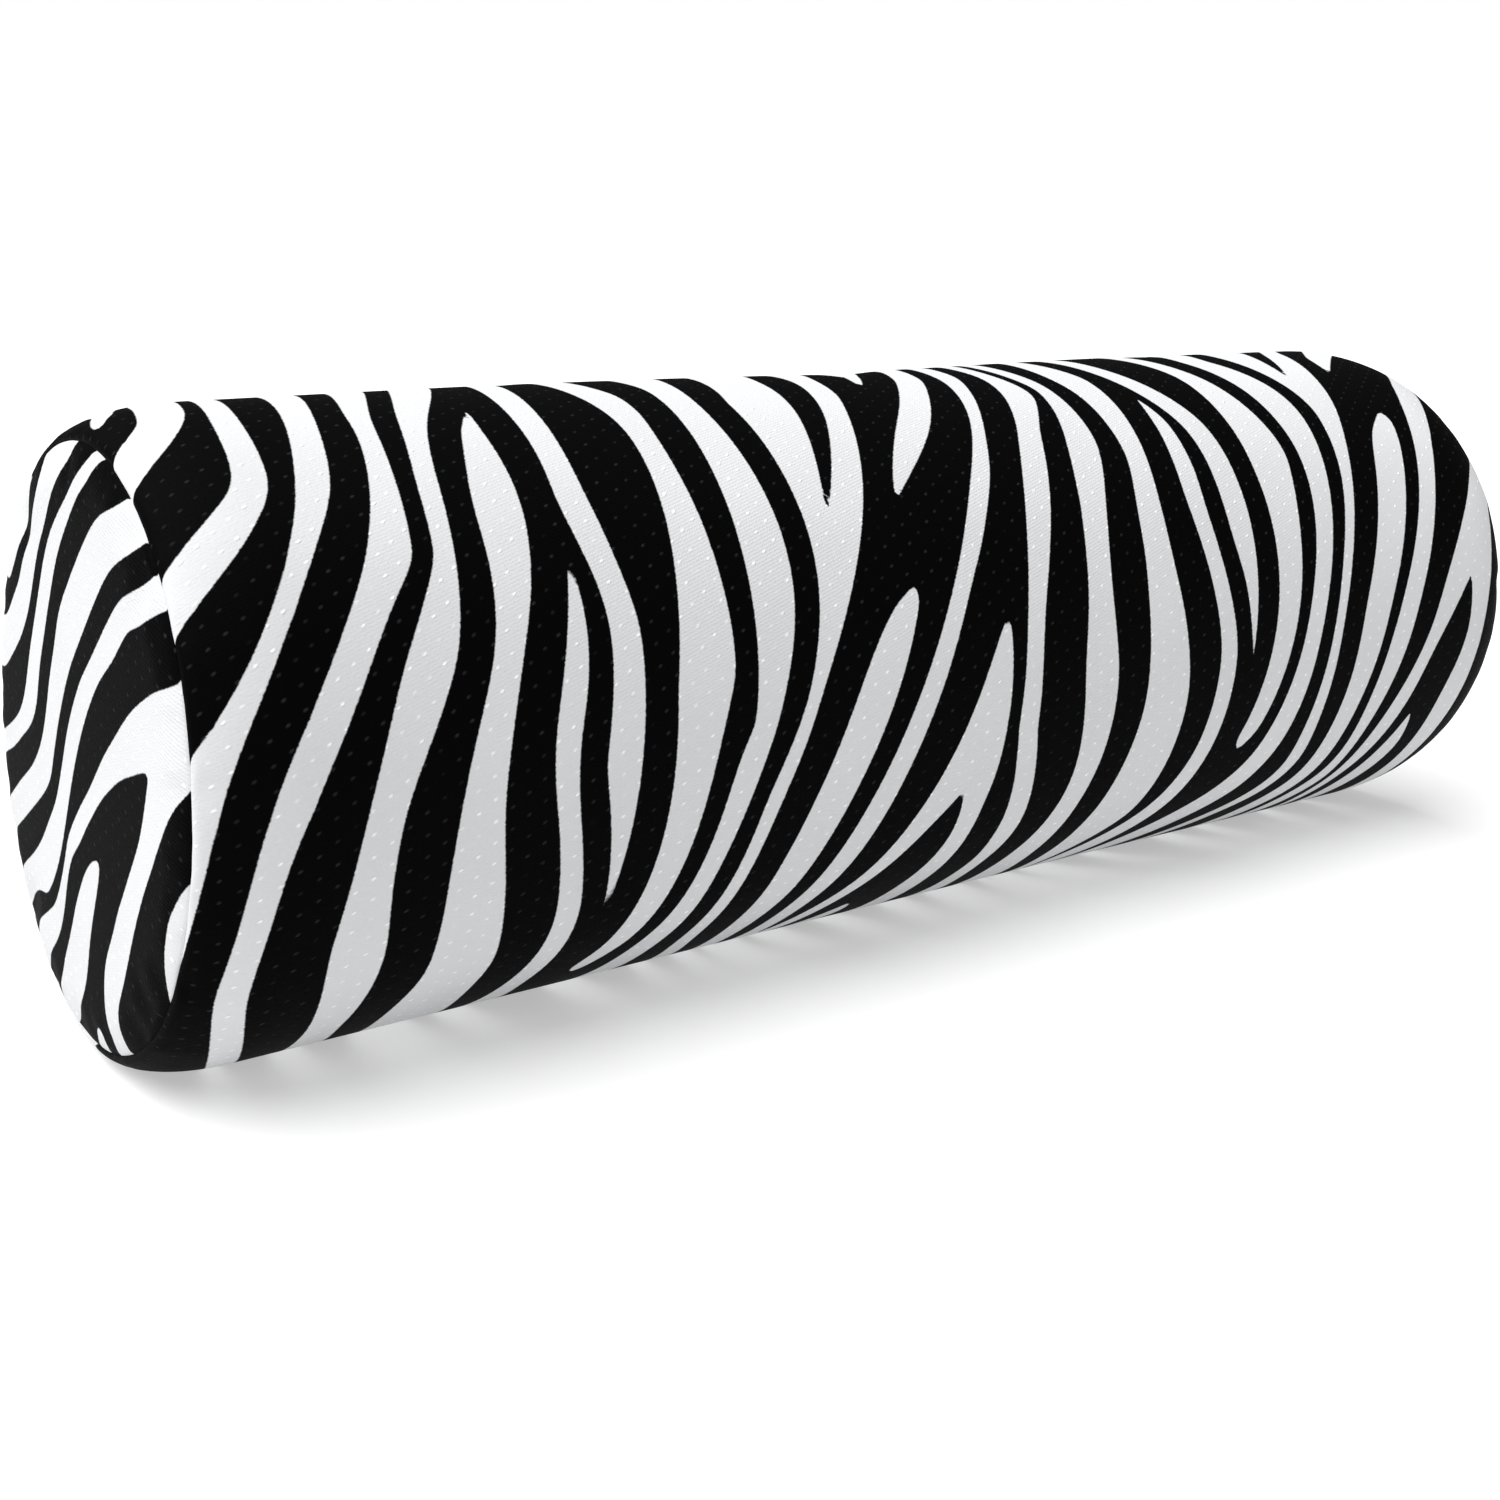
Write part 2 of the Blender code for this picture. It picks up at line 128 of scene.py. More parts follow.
# The cover's long wall: one panel of printed stretch knit, rolled up and sewn along the back,
# where its middle part is left open for the zip. The stuffed roll holds it taut.
CLOTH = 0.0012
MM = 0.001
TURN = 2 * math.pi * ROLL_RADIUS / MM
SHOULDER = (23.0, 7.0)  # the wall rounds in at each end: how far along, and how deep
SHOULDER_TURN = math.radians(70)
SEAM_RADIUS = ROLL_RADIUS / MM - SHOULDER[1]
END_LEAN = math.tan(math.radians(3.8))
SHOULDER_START = HALF_LENGTH / MM - SHOULDER[0]
stop_low, stop_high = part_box("zipper_bottom_stop")
stop_middle = (stop_low + stop_high) / 2
ZIP_RISE = math.atan2(stop_middle.z - AXIS_HEIGHT, stop_middle.y)
ZIP_AROUND = -(math.pi / 2 - ZIP_RISE) * ROLL_RADIUS / MM
OPENING = (160.0, 6.7)  # half of its length and half of its width
TAPE_END = 170.5  # past here the lengthwise seam has no tape under it, and sinks in
SLACK = 0.8  # how much smaller the cloth starts than the roll it is blown out to
SWELL_LIMIT = 1.1
SINK_LIMIT = 0.4
TAPE_REACH = (16.0, 14.0)  # the tapes hold the cloth this far out, and then let it go
PRESSURE = 4.0
STRETCH_STIFFNESS = 25
BEND_STIFFNESS = 1.0
SHRINK = -0.006
SWELL_FRAMES = 20
SEAM_DIP = 1.0
SEAM_DIP_REACH = 1.3
WALL_RIPPLE = ((23, 0.16), (41, 0.13), (67, 0.10), (97, 0.06))  # waves round a seam, and their size
RIPPLE_FADE = 9.0
RIPPLE_START = 3.0
GROOVE_DEPTH = 0.9  # of the lengthwise seam
GROOVE_REACH = 2.0
GROOVE_START = 4.0

turns = np.linspace(0, SHOULDER_TURN, 400)
shoulder_x = SHOULDER_START + SHOULDER[0] * np.sin(turns) / math.sin(SHOULDER_TURN)
shoulder_fall = (1 - np.cos(turns)) / (1 - math.cos(SHOULDER_TURN))
shoulder_radius = ROLL_RADIUS / MM - SHOULDER[1] * shoulder_fall
steps = np.hypot(np.diff(shoulder_x), np.diff(shoulder_radius))
shoulder_length = np.concatenate([[0], np.cumsum(steps)])
SEAM_ALONG = SHOULDER_START + shoulder_length[-1]


def pucker(around, waves):
    """A gentle, uneven ripple round a seam."""
    angle = 2 * np.pi * around / TURN
    return sum(size * np.sin(count * angle + count * 1.7) for count, size in waves)


def wall_place(along, around):
    """Places on the taut wall, in metres, for points given in millimetres of cloth."""
    reach = np.abs(along)
    past = reach - SHOULDER_START
    x = np.where(past > 0, np.interp(past, shoulder_length, shoulder_x), reach)
    radius = np.where(past > 0, np.interp(past, shoulder_length, shoulder_radius), ROLL_RADIUS / MM)
    seam = SEAM_ALONG - reach
    x = x - SEAM_DIP * np.exp(-((seam / SEAM_DIP_REACH) ** 2))
    ripple = pucker(around, WALL_RIPPLE) * np.exp(-seam / RIPPLE_FADE)
    radius = radius + ripple * np.minimum(seam / RIPPLE_START, 1) - SLACK
    edge = np.minimum(around - ZIP_AROUND, ZIP_AROUND + TURN - around)
    closed = np.clip((reach - TAPE_END) / GROOVE_START, 0, 1)
    radius = radius - GROOVE_DEPTH * closed * np.exp(-((edge / GROOVE_REACH) ** 2))
    angle = around * MM / ROLL_RADIUS
    y = -radius * np.sin(angle)
    z = np.maximum(radius * np.cos(angle), -AXIS_HEIGHT / MM)
    x = np.sign(along) * x + END_LEAN * z * np.clip(-along / SHOULDER_START, 0, 1)
    return np.stack([x, y, z + AXIS_HEIGHT / MM], -1) * MM


def cloth_piece(name, places, cloth, faces):
    """A sheet of quads whose points remember where they lie on the flat cloth."""
    mesh = bpy.data.meshes.new(name)
    mesh.from_pydata(places.tolist(), [], faces)
    laid = mesh.attributes.new("cloth", "FLOAT_VECTOR", "POINT")
    flat = np.column_stack([cloth, np.zeros(len(cloth))]).astype(np.float32)
    laid.data.foreach_set("vector", flat.ravel())
    made = bpy.data.objects.new(name, mesh)
    scene.collection.objects.link(made)
    return made


def blow_out(piece, held, free):
    """Swells the cloth under pressure, held at its sewn edges, by as much as it is free to."""
    start = np.array([v.co for v in piece.data.vertices])
    pins = piece.vertex_groups.new(name="sewn")
    for index, grip in enumerate(held):
        if grip > 0:
            pins.add([index], float(grip), "REPLACE")
    cloth = piece.modifiers.new("Cloth", "CLOTH")
    cloth.settings.vertex_group_mass = "sewn"
    cloth.settings.use_pressure = True
    cloth.settings.uniform_pressure_force = PRESSURE
    cloth.settings.tension_stiffness = STRETCH_STIFFNESS
    cloth.settings.compression_stiffness = STRETCH_STIFFNESS
    cloth.settings.bending_stiffness = BEND_STIFFNESS
    cloth.settings.shrink_min = SHRINK
    cloth.settings.effector_weights.gravity = 0
    cloth.point_cache.frame_start, cloth.point_cache.frame_end = 1, SWELL_FRAMES
    for number in range(1, SWELL_FRAMES + 1):
        scene.frame_set(number)
    graph = bpy.context.evaluated_depsgraph_get()
    shown = piece.evaluated_get(graph).data
    moved = np.array([v.co for v in shown.vertices]) - start
    piece.modifiers.remove(cloth)
    scene.frame_set(1)
    outward = np.array([v.normal for v in piece.data.vertices])
    swell = np.clip((moved * outward).sum(1), -SINK_LIMIT * MM, SWELL_LIMIT * MM) * free
    end = start + swell[:, None] * outward
    end[:, 2] = np.maximum(end[:, 2], 0)
    piece.data.vertices.foreach_set("co", end.astype(np.float32).ravel())
    piece.data.update()


def sew_up(piece, thickness):
    """Gives the cloth its thickness, rounds its edges and lays its UV map in millimetres."""
    wall = piece.modifiers.new("Cloth", "SOLIDIFY")
    wall.thickness = thickness
    wall.offset = -1
    smooth = piece.modifiers.new("Smooth", "SUBSURF")
    smooth.levels = smooth.render_levels = 1
    bpy.context.view_layer.objects.active = piece
    for modifier in (wall.name, smooth.name):
        bpy.ops.object.modifier_apply(modifier=modifier)
    mesh = piece.data
    mesh.shade_smooth()
    flat = np.empty(len(mesh.vertices) * 3, np.float32)
    mesh.attributes["cloth"].data.foreach_get("vector", flat)
    flat = flat.reshape(-1, 3)
    corners = np.empty(len(mesh.loops), np.int32)
    mesh.loops.foreach_get("vertex_index", corners)
    layer = mesh.uv_layers.new(name="cloth_mm")
    layer.data.foreach_set("uv", flat[corners, :2].ravel())
    mesh.attributes.remove(mesh.attributes["cloth"])
    return flat[:, 0].astype(float), flat[:, 1].astype(float)


open_along = np.linspace(-OPENING[0], OPENING[0], 107)
closed_along = np.linspace(OPENING[0], SHOULDER_START, 10)[1:]
shoulder_along = np.linspace(SHOULDER_START, SEAM_ALONG - 6, 9)[1:]
seam_along = np.linspace(SEAM_ALONG - 6, SEAM_ALONG, 6)[1:]
right_along = np.concatenate([closed_along, shoulder_along, seam_along])
columns = np.concatenate([-right_along[::-1], open_along, right_along])
first, last = ZIP_AROUND, ZIP_AROUND + TURN
rows = np.concatenate([
    [first, first + OPENING[1] / 2],
    np.linspace(first + OPENING[1], last - OPENING[1], 153),
    [last - OPENING[1] / 2, last],
])
grid_around, grid_along = np.meshgrid(rows, columns, indexing="ij")
wide = len(columns)
quads = []
for r in range(len(rows) - 1):
    for c in range(wide - 1):
        at_edge = r < 2 or r > len(rows) - 4
        if at_edge and abs(columns[c] + columns[c + 1]) / 2 < OPENING[0]:
            continue
        corner = r * wide + c
        quads.append((corner, corner + wide, corner + wide + 1, corner + 1))
along, around = grid_along.ravel(), grid_around.ravel()
used = np.zeros(len(along), bool)
used[np.array(quads).ravel()] = True
order = np.cumsum(used) - 1
quads = [tuple(int(order[corner]) for corner in quad) for quad in quads]
along, around = along[used], around[used]
laid_flat = np.column_stack([along, around])
cover_wall = cloth_piece("cover_wall", wall_place(along, around), laid_flat, quads)
sewn = np.abs(along) > SEAM_ALONG - 0.1
edge = np.minimum(around - first, last - around)
sewn |= edge < 0.1
sewn |= (edge < OPENING[1] + 0.1) & (np.abs(along) < OPENING[0] + 0.1)
beyond_tape = np.maximum(edge - TAPE_REACH[0], np.abs(along) - OPENING[0] - TAPE_REACH[0])
blow_out(cover_wall, sewn.astype(float), np.clip(beyond_tape / TAPE_REACH[1], 0, 1))
along, around = sew_up(cover_wall, CLOTH)

# The print: white stripes on black. Each stripe is its two edges, row by row round the roll.
WHITE_STRIPES = (  # rows of (around, left edge, right edge)
    (
        (5, -207.5, -206.5), (-1, -207.5, -202), (-14, -199.5, -194.3),
    ),
    (
        (-14, -196, -186.5), (-5, -197, -187.6), (10, -200, -190.1), (15, -201.7, -191.6),
        (20, -206, -193.8), (25, -210.5, -197), (30, -216, -201), (39, -228, -210),
        (44, -236, -217),
    ),
    (
        (-14, -183, -178), (5, -185.2, -179.6), (20, -188, -181.7), (38, -189.6, -182.8),
        (45, -191.7, -184), (50, -195.5, -186), (60, -206.5, -192.8), (70, -217, -203),
        (77, -226, -210), (84, -236, -218),
    ),
    (
        (-14, -167, -158.5), (5, -169.2, -161), (25, -172.5, -165.8), (45, -178, -170),
        (55, -181.3, -174.5), (75, -190.7, -186.3), (95, -203.5, -197.2), (105, -212, -202),
        (115, -216, -205.2), (125, -217, -207.3), (150, -217, -210.7), (160, -216, -212.5),
    ),
    (
        (-14, -150, -139), (5, -153.3, -145.2), (20, -157.5, -151.3), (30, -158.2, -153.8),
        (50, -162.6, -156.6), (65, -168.5, -158.3), (70, -171, -160.3), (80, -176.5, -168),
        (100, -188.3, -178.8), (110, -193.3, -184.2), (120, -196.7, -188.8), (130, -199, -192.6),
        (150, -201.7, -195.6), (160, -202.3, -195.7), (170, -201.3, -194.7), (216, -191, -184),
    ),
    (
        (-14, -131, -120), (10, -140.7, -130.5), (20, -144.8, -136.2), (30, -147.6, -141.5),
        (40, -149.9, -144.9), (50, -152, -147), (65, -153.5, -148.9), (70, -154.8, -149.6),
        (85, -163, -152), (95, -167.8, -155.8), (110, -172.8, -163.3), (120, -175.5, -167.2),
        (130, -177.5, -168.7), (140, -179, -168.8), (150, -180.2, -167.7), (160, -179.5, -167.2),
        (180, -177.5, -168.5), (190, -177.6, -169.3), (216, -176, -166),
    ),
    (
        (23, -128.2, -127.8), (30, -132.6, -128.4), (35, -134.9, -128.8), (50, -139.9, -129),
        (60, -141.4, -130), (70, -141.8, -131.8), (80, -142.8, -134.5), (90, -144.9, -138),
        (100, -148.6, -141), (110, -152, -143.2), (120, -154.3, -144.5), (130, -155.5, -144),
        (140, -155.9, -142.4), (160, -155.2, -139.2), (170, -155.8, -138.6),
        (190, -159.8, -140.7), (216, -157, -139),
    ),
    (
        (72.5, -123.4, -122.8), (85, -126.3, -121.8), (100, -130.3, -123.7),
        (110, -132.5, -126.3), (120, -132.5, -126.7), (130, -130.8, -125.5),
        (150, -127.2, -121.3), (160, -126.6, -120.5), (170, -127, -120.7), (180, -128.4, -121.8),
        (190, -130.7, -124), (200, -133, -123.5), (216, -136, -126),
    ),
    (
        (-14, -113, -106.5), (15, -117.8, -110), (45, -119, -112.5), (58, -121, -112.9),
        (75, -117.7, -111), (85, -116.5, -109.2), (95, -116.6, -109), (115, -119.5, -110.5),
        (120, -119.6, -110.9), (140, -116.1, -112.5), (158.5, -114.1, -113.9),
    ),
    (
        (-14, -98.5, -91), (5, -96.6, -88.3), (15, -95, -84.9), (20, -94, -84), (30, -92.4, -84),
        (40, -92.1, -85.5), (60, -94, -85.9), (90, -98.8, -84.8), (100, -100.4, -85.3),
        (105, -101.1, -86.2), (120, -101.8, -91.1), (150, -103.8, -95.8), (170, -107.5, -100.5),
        (175, -108.5, -102.2), (184, -112, -106.5), (187, -110.8, -109.3),
    ),
    (
        (-14, -77, -61), (10, -74.1, -64), (15, -73.4, -64), (30, -74.3, -65.7),
        (60, -76.7, -64.8), (80, -77.6, -65.1), (95, -78.4, -67.8), (110, -79.7, -72.6),
        (115, -80.8, -74.2), (120, -83.6, -76), (130, -86.7, -79.6), (150, -90.3, -84.8),
        (170, -94.8, -87.5), (190, -100.5, -91.6), (200, -103, -92), (216, -106, -95),
    ),
    (
        (-14, -51, -16.5), (5, -52.4, -18.8), (20, -54.7, -19.8), (25, -56, -20.7),
        (30, -56.4, -22.4), (55, -56.7, -32.6), (75, -57.2, -43), (90, -59.3, -51.2),
        (105, -63.5, -59.3), (115, -67.2, -63.4), (130, -74.2, -69.3), (140, -76.7, -72.4),
        (160, -80.1, -76), (180, -82.6, -77.6), (190, -83, -77.4), (216, -80, -73),
    ),
    (
        (-14, 11, 17), (5, 9, 15.3), (15, 6, 14.3), (20, 3.6, 12.8), (30, -3.1, 6.8),
        (40, -11.8, 0), (50, -19.8, -9.7), (60, -25.7, -21.5), (63.7, -26.6, -25.7),
    ),
    (
        (87.5, -31, -29.8), (90, -34.5, -29.4), (92.5, -38, -29.9), (105, -47.9, -35.3),
        (130, -58.7, -46.5), (140, -62, -50.2), (150, -64.7, -53.6), (160, -66.5, -56.3),
        (190, -69.5, -62.6), (200, -69, -62), (216, -67, -60),
    ),
    (
        (-14, 19, 24.5), (5, 20.3, 26), (15, 20.2, 26.9), (20, 20, 26), (30, 17.5, 22.3),
        (40, 13.2, 17.3), (50, 7.2, 11.8), (60, 0.2, 6.8), (70, -6.5, 0.1), (80, -12.5, -6),
        (90, -18.5, -13), (110, -29.7, -23), (130, -39.2, -32.1), (150, -46.8, -39),
        (170, -52.4, -45.3), (190, -56.2, -50), (216, -59, -53),
    ),
    (
        (99, -2.6, -1.6), (101, -4, -0.9), (115, -12, -1.4), (170, -36.2, -5.1),
        (190, -45.9, -7.4), (200, -50, -9), (216, -55, -12),
    ),
    (
        (-14, 0.5, 6), (0, -3.5, 3), (10, -7.2, -1.9), (17, -8.7, -6.2), (18.7, -8.4, -7.4),
    ),
    (
        (-14, 30, 37), (5, 32, 37), (15, 34.2, 39.3), (20, 34.5, 40.8), (25, 34, 42.3),
        (30, 32.8, 42.8), (35, 31, 41), (45, 26.2, 34), (50, 23, 31.2), (70, 12.8, 22),
        (90, 7, 13.4), (100, 4.7, 10.5), (110, 3.4, 9), (125, 2, 8.5), (130, 2.4, 8.9),
        (150, 5.8, 13), (160, 6.2, 13.7), (170, 6, 12.5), (180, 5, 10.8), (200, 1.5, 11),
        (216, 0, 11),
    ),
    (
        (-14, 39, 44.5), (5, 40.5, 45.8), (20, 44.5, 50), (25, 46, 51), (30, 46.5, 51.4),
        (40, 44, 51.3), (50, 39.9, 50), (55, 37.7, 48.7), (65, 34, 44.3), (70, 32.6, 41.8),
        (80, 29.8, 38.3), (90, 27.8, 36), (100, 26, 35.2), (110, 24.3, 35.7), (120, 24.3, 36.5),
        (140, 26.4, 35.5), (150, 26, 34.3), (160, 24.6, 33), (180, 20.2, 31.5), (200, 18.5, 33),
        (216, 17, 33),
    ),
    (
        (-14, 57, 62), (5, 56.3, 64), (20, 57.3, 69), (25, 58.2, 69.5), (35, 59.3, 69),
        (50, 58.3, 66.2), (60, 56.8, 63.8), (70, 52.8, 61.3), (80, 50.7, 60), (90, 49.4, 59.7),
        (100, 48.2, 60.8), (120, 48, 63.7), (130, 47.4, 64.2), (150, 44.5, 63), (165, 42, 60),
        (170, 41.4, 58.4), (190, 40, 47.5), (200, 39, 44), (216, 38, 41),
    ),
    (
        (36.3, 78.4, 78.9), (45, 76.5, 80.8), (50, 75.7, 81), (65, 72.3, 79.4), (75, 71.1, 77.4),
        (90, 72.3, 78.1), (110, 75.4, 81.6), (120, 76.1, 82.5), (140, 74.4, 81),
        (150, 72.5, 79.4), (165, 67.2, 75.6), (180, 58.5, 69.8), (190, 51, 64), (200, 45.5, 57),
        (216, 42.5, 49),
    ),
    (
        (-14, 69, 78), (10, 74.5, 81.7), (20, 77, 84.9), (40, 84, 92.6), (50, 86.3, 94.7),
        (60, 86.3, 94.7), (80, 84.4, 93.4), (90, 85.2, 92.3), (100, 87.1, 91.2),
        (119, 88.5, 88.9),
    ),
    (
        (-14, 98, 104), (5, 100, 107.5), (20, 104.4, 111.8), (30, 105.8, 115.4),
        (50, 104.6, 118.8), (60, 103.6, 119.1), (65, 103, 118.4), (80, 102.2, 113.7),
        (100, 100.3, 109.7), (120, 96.8, 104.9), (140, 91.9, 99.2), (144, 90.6, 97),
        (147, 91, 94.5), (148.2, 92.2, 92.9),
    ),
    (
        (-14, 123, 135), (10, 119.7, 130.5), (15, 120.3, 130.8), (30, 123.8, 136.2),
        (40, 124.9, 137.6), (50, 125.2, 137.2), (70, 124.3, 132.3), (100, 115, 121.9),
        (110, 112.3, 119.2), (120, 109.8, 116.8), (145, 103.6, 113), (155, 99.5, 110),
        (165, 92.2, 105.5), (170, 87.5, 102.5), (185, 74.5, 91), (200, 61, 76), (216, 52, 64),
    ),
    (
        (-14, 147, 190), (0, 142, 178), (5, 140, 173), (15, 140.1, 167.6), (35, 144.2, 159.8),
        (45, 144.6, 155.4), (50, 143.9, 152.9), (60, 141.5, 147.6), (75, 136.9, 141),
        (95, 128.5, 132.6), (110, 124.6, 128.3), (120, 122.6, 126.5), (140, 120.2, 125.2),
        (155, 120, 126.2), (160, 119.6, 125.7), (165, 118.2, 124.5), (170, 115.8, 122.5),
        (175, 112.5, 120), (180, 108.5, 116), (192, 96, 104), (216, 76, 84),
    ),
    (
        (-14, 207, 225), (10, 179.7, 193.5), (15, 176, 187), (20, 173.6, 180.5),
        (26.8, 171.7, 172.6),
    ),
    (
        (22, 206, 218), (31, 198, 208), (35, 193.6, 205), (40, 190.3, 202), (50, 184.4, 195),
        (70, 174.7, 182), (100, 158.8, 167.3), (110, 154.3, 162.8), (120, 150.7, 159.5),
        (130, 148.5, 156.7), (140, 147, 154.2), (150, 146.6, 152.2), (160, 146.3, 151.2),
        (170, 145, 150.8), (180, 142, 150), (216, 128, 136),
    ),
    (
        (49.3, 172, 173.8), (52, 168.5, 175.1), (55, 164.5, 174.5), (60, 160, 172.6),
        (70, 154.4, 167.8), (100, 141, 153.3), (110, 137.5, 149.2), (120, 135.5, 146.2),
        (140, 133.7, 142), (160, 132.8, 140.7), (170, 131.3, 139.4), (180, 127, 137),
        (190, 121, 132), (216, 108, 119),
    ),
    (
        (60, 215, 222), (66, 208, 218), (70, 203.5, 213), (75, 198, 211), (85, 189.5, 205.5),
        (100, 178.5, 200.2), (110, 173, 198.3), (120, 169, 196.4), (140, 160.5, 195),
        (160, 155.3, 193), (180, 154, 192), (216, 150, 190),
    ),
)
BLACK_WEDGES = (  # black tongues inside white stripes
    (
        (-14, -34, -31), (0, -35.5, -30), (10, -37.1, -26.6), (20, -37.3, -27.3),
        (30, -38.8, -30), (40, -41.3, -34), (60, -48, -45), (66.5, -49.8, -49.4),
    ),
    (
        (143, -13, -12.4), (150, -18.4, -11.1), (160, -25.1, -11.1), (180, -35.3, -15.2),
        (200, -43.5, -19), (216, -48, -22),
    ),
    (
        (-14, 170, 186), (0, 160.5, 170), (5, 156.8, 165.4), (10, 154.3, 161), (20, 151.3, 155.4),
        (28.8, 150.1, 150.5),
    ),
    (
        (106, 186.8, 187.8), (120, 176, 188.3), (130, 170.8, 186.5), (140, 168, 183.9),
        (150, 165.5, 183), (170, 160, 183.8), (180, 158, 184), (200, 155.5, 184), (216, 153, 183),
    ),
)
RIM_STRIPE = (  # white again along the left rim, low at the back
    (221, -230, -219), (226, -230, -214), (234, -230, -209), (246, -230, -206), (262, -230, -208),
    (280, -230, -211.5), (298, -230, -210), (314, -230, -213), (326, -230, -219),
)
INNER_STRIPES = (  # white tongues inside those
    (
        (186.5, -28.5, -27.7), (190, -31, -26.7), (195, -35, -27), (204, -40, -30),
        (216, -44, -33),
    ),
    (
        (149.7, 171.5, 172.6), (160, 168.5, 175.5), (170, 166, 175.5), (216, 159, 167),
    ),
)


def smooth_loop(points, parts=4, rounds=6):
    """A closed curve past the points, eased a little where they bend sharply."""
    points = np.array(points, float)
    before, after = np.roll(points, 1, 0), np.roll(points, -1, 0)
    beyond = np.roll(points, -2, 0)
    curve = []
    for t in np.arange(parts) / parts:
        bend = 2 * points + (after - before) * t
        bend += (2 * before - 5 * points + 4 * after - beyond) * t**2
        bend += (3 * points - before - 3 * after + beyond) * t**3
        curve.append(bend / 2)
    curve = np.stack(curve, 1).reshape(-1, 2)
    for _ in range(rounds):
        curve = (np.roll(curve, 1, 0) + 2 * curve + np.roll(curve, -1, 0)) / 4
    return curve


def depth_inside(points, outline, reach=6.0):
    """How far each point lies inside the outline, and less than 0 outside it."""
    depth = np.full(len(points), -reach)
    near = (points > outline.min(0) - reach).all(1) & (points < outline.max(0) + reach).all(1)
    chosen = np.flatnonzero(near)
    ends = np.roll(outline, -1, 0)
    for part in np.array_split(chosen, max(1, len(chosen) // 4000)):
        x, y = points[part, 0][:, None], points[part, 1][:, None]
        run, rise = ends[:, 0] - outline[:, 0], ends[:, 1] - outline[:, 1]
        share = (x - outline[:, 0]) * run + (y - outline[:, 1]) * rise
        share = np.clip(share / np.maximum(run**2 + rise**2, 1e-9), 0, 1)
        gap = np.hypot(x - outline[:, 0] - share * run, y - outline[:, 1] - share * rise)
        crossing = (outline[:, 1] > y) != (ends[:, 1] > y)
        where = outline[:, 0] + (y - outline[:, 1]) * run / np.where(rise == 0, 1e-9, rise)
        inside = (crossing & (x < where)).sum(1) % 2 == 1
        depth[part] = np.where(inside, 1, -1) * np.minimum(gap.min(1), reach)
    return depth


def stripe_loop(stripe):
    """A stripe's outline, down its left edge and back up its right one."""
    left = [(low, row) for row, low, high in stripe]
    right = [(high, row) for row, low, high in reversed(stripe)]
    return smooth_loop(left + right)


def lay_print(piece, points, whites, blacks, inner_whites):
    """Stores how deep inside the white of the print each point of the cloth lies."""
    value = np.full(len(points), -6.0)
    for outline in whites:
        value = np.maximum(value, depth_inside(points, outline))
    for outline in blacks:
        value = np.minimum(value, -depth_inside(points, outline))
    for outline in inner_whites:
        value = np.maximum(value, depth_inside(points, outline))
    layer = piece.data.attributes.new("white_depth", "FLOAT", "POINT")
    layer.data.foreach_set("value", value.astype(np.float32))


# Past the rows drawn above, the panel repeats them in reverse, pushed a little along the roll.
FOLD = (
    (-81.2, 66), (-60, 45), (-40, 25), (-24, 8), (-15, -1), (-9, -4.5), (-2, -1.5), (3, 3),
    (200, 200), (208, 207), (216, 212), (223, 213.5), (232, 211), (248, 198), (300, 147),
    (345, 101), (390.1, 56),
)
LAST_ROW = 216  # of the rows drawn above
FOLD_EASE = 60
HIGH_PUSH = (16, 17)  # how far the print is pushed along, and how fast that changes
LOW_PUSH = (14, 24)
LOW_DRIFT = 0.12
fold_at, fold_to = np.array(FOLD).T
print_row = np.interp(around, fold_at, fold_to)
above = np.clip(-around / FOLD_EASE, 0, 1)
below = np.clip((around - LAST_ROW) / FOLD_EASE, 0, 1)
low_push = LOW_PUSH[0] * np.sin(around / LOW_PUSH[1]) + LOW_DRIFT * (around - LAST_ROW)
print_along = along + HIGH_PUSH[0] * above * np.sin(around / HIGH_PUSH[1]) - below * low_push
lay_print(
    cover_wall,
    np.column_stack([print_along, print_row]),
    [stripe_loop(stripe) for stripe in WHITE_STRIPES],
    [stripe_loop(stripe) for stripe in BLACK_WEDGES],
    [stripe_loop(stripe) for stripe in INNER_STRIPES],
)
in_rim_stripe = depth_inside(np.column_stack([along, around]), stripe_loop(RIM_STRIPE))
depth_layer = cover_wall.data.attributes["white_depth"]
depth = np.empty(len(along), np.float32)
depth_layer.data.foreach_get("value", depth)
depth_layer.data.foreach_set("value", np.maximum(depth, in_rim_stripe).astype(np.float32))

# The printed knit: fine ribs, and small tuck stitches standing up in a staggered pattern, with a
# painted highlight in their colour. The white is the yarn's own, and the black is printed on it.
TUCK_STEPS = ((4.1, 2.45), (0.35, 5.0))
TUCK_SIZE = (0.85, 0.48)
TUCK_SLANT = math.radians(-32)
RIB_SLANT = math.radians(18)
RIB_PITCH = 0.8
LOOP_PITCH = 1.15
WHITE = (0.615, 0.622, 0.635, 1)
# painted highlight: a tuck's colour on the white
TUCK_HIGHLIGHT_ON_WHITE = (0.90, 0.91, 0.92, 1)
BLACK = (0.0014, 0.0014, 0.0015, 1)
# painted highlight: a tuck's colour on the black
TUCK_HIGHLIGHT_ON_BLACK = (0.016, 0.017, 0.019, 1)


def start_material(name):
    """A new material, which the nodes that follow are added to."""
    global nodes, links, shader
    made = bpy.data.materials.new(name)
    made.use_nodes = True
    nodes, links = made.node_tree.nodes, made.node_tree.links
    shader = nodes["Principled BSDF"]
    return made


def add_node(kind, **settings):
    """A node with its settings made and its sockets linked or filled by name or number."""
    made = nodes.new("ShaderNode" + kind)
    inputs = settings.pop("inputs", {})
    for name, value in settings.items():
        setattr(made, name, value)
    for name, value in inputs.items():
        if isinstance(value, bpy.types.NodeSocket):
            links.new(value, made.inputs[name])
        else:
            made.inputs[name].default_value = value
    return made


def add_math(operation, *values):
    return add_node("Math", operation=operation, inputs=dict(enumerate(values))).outputs[0]


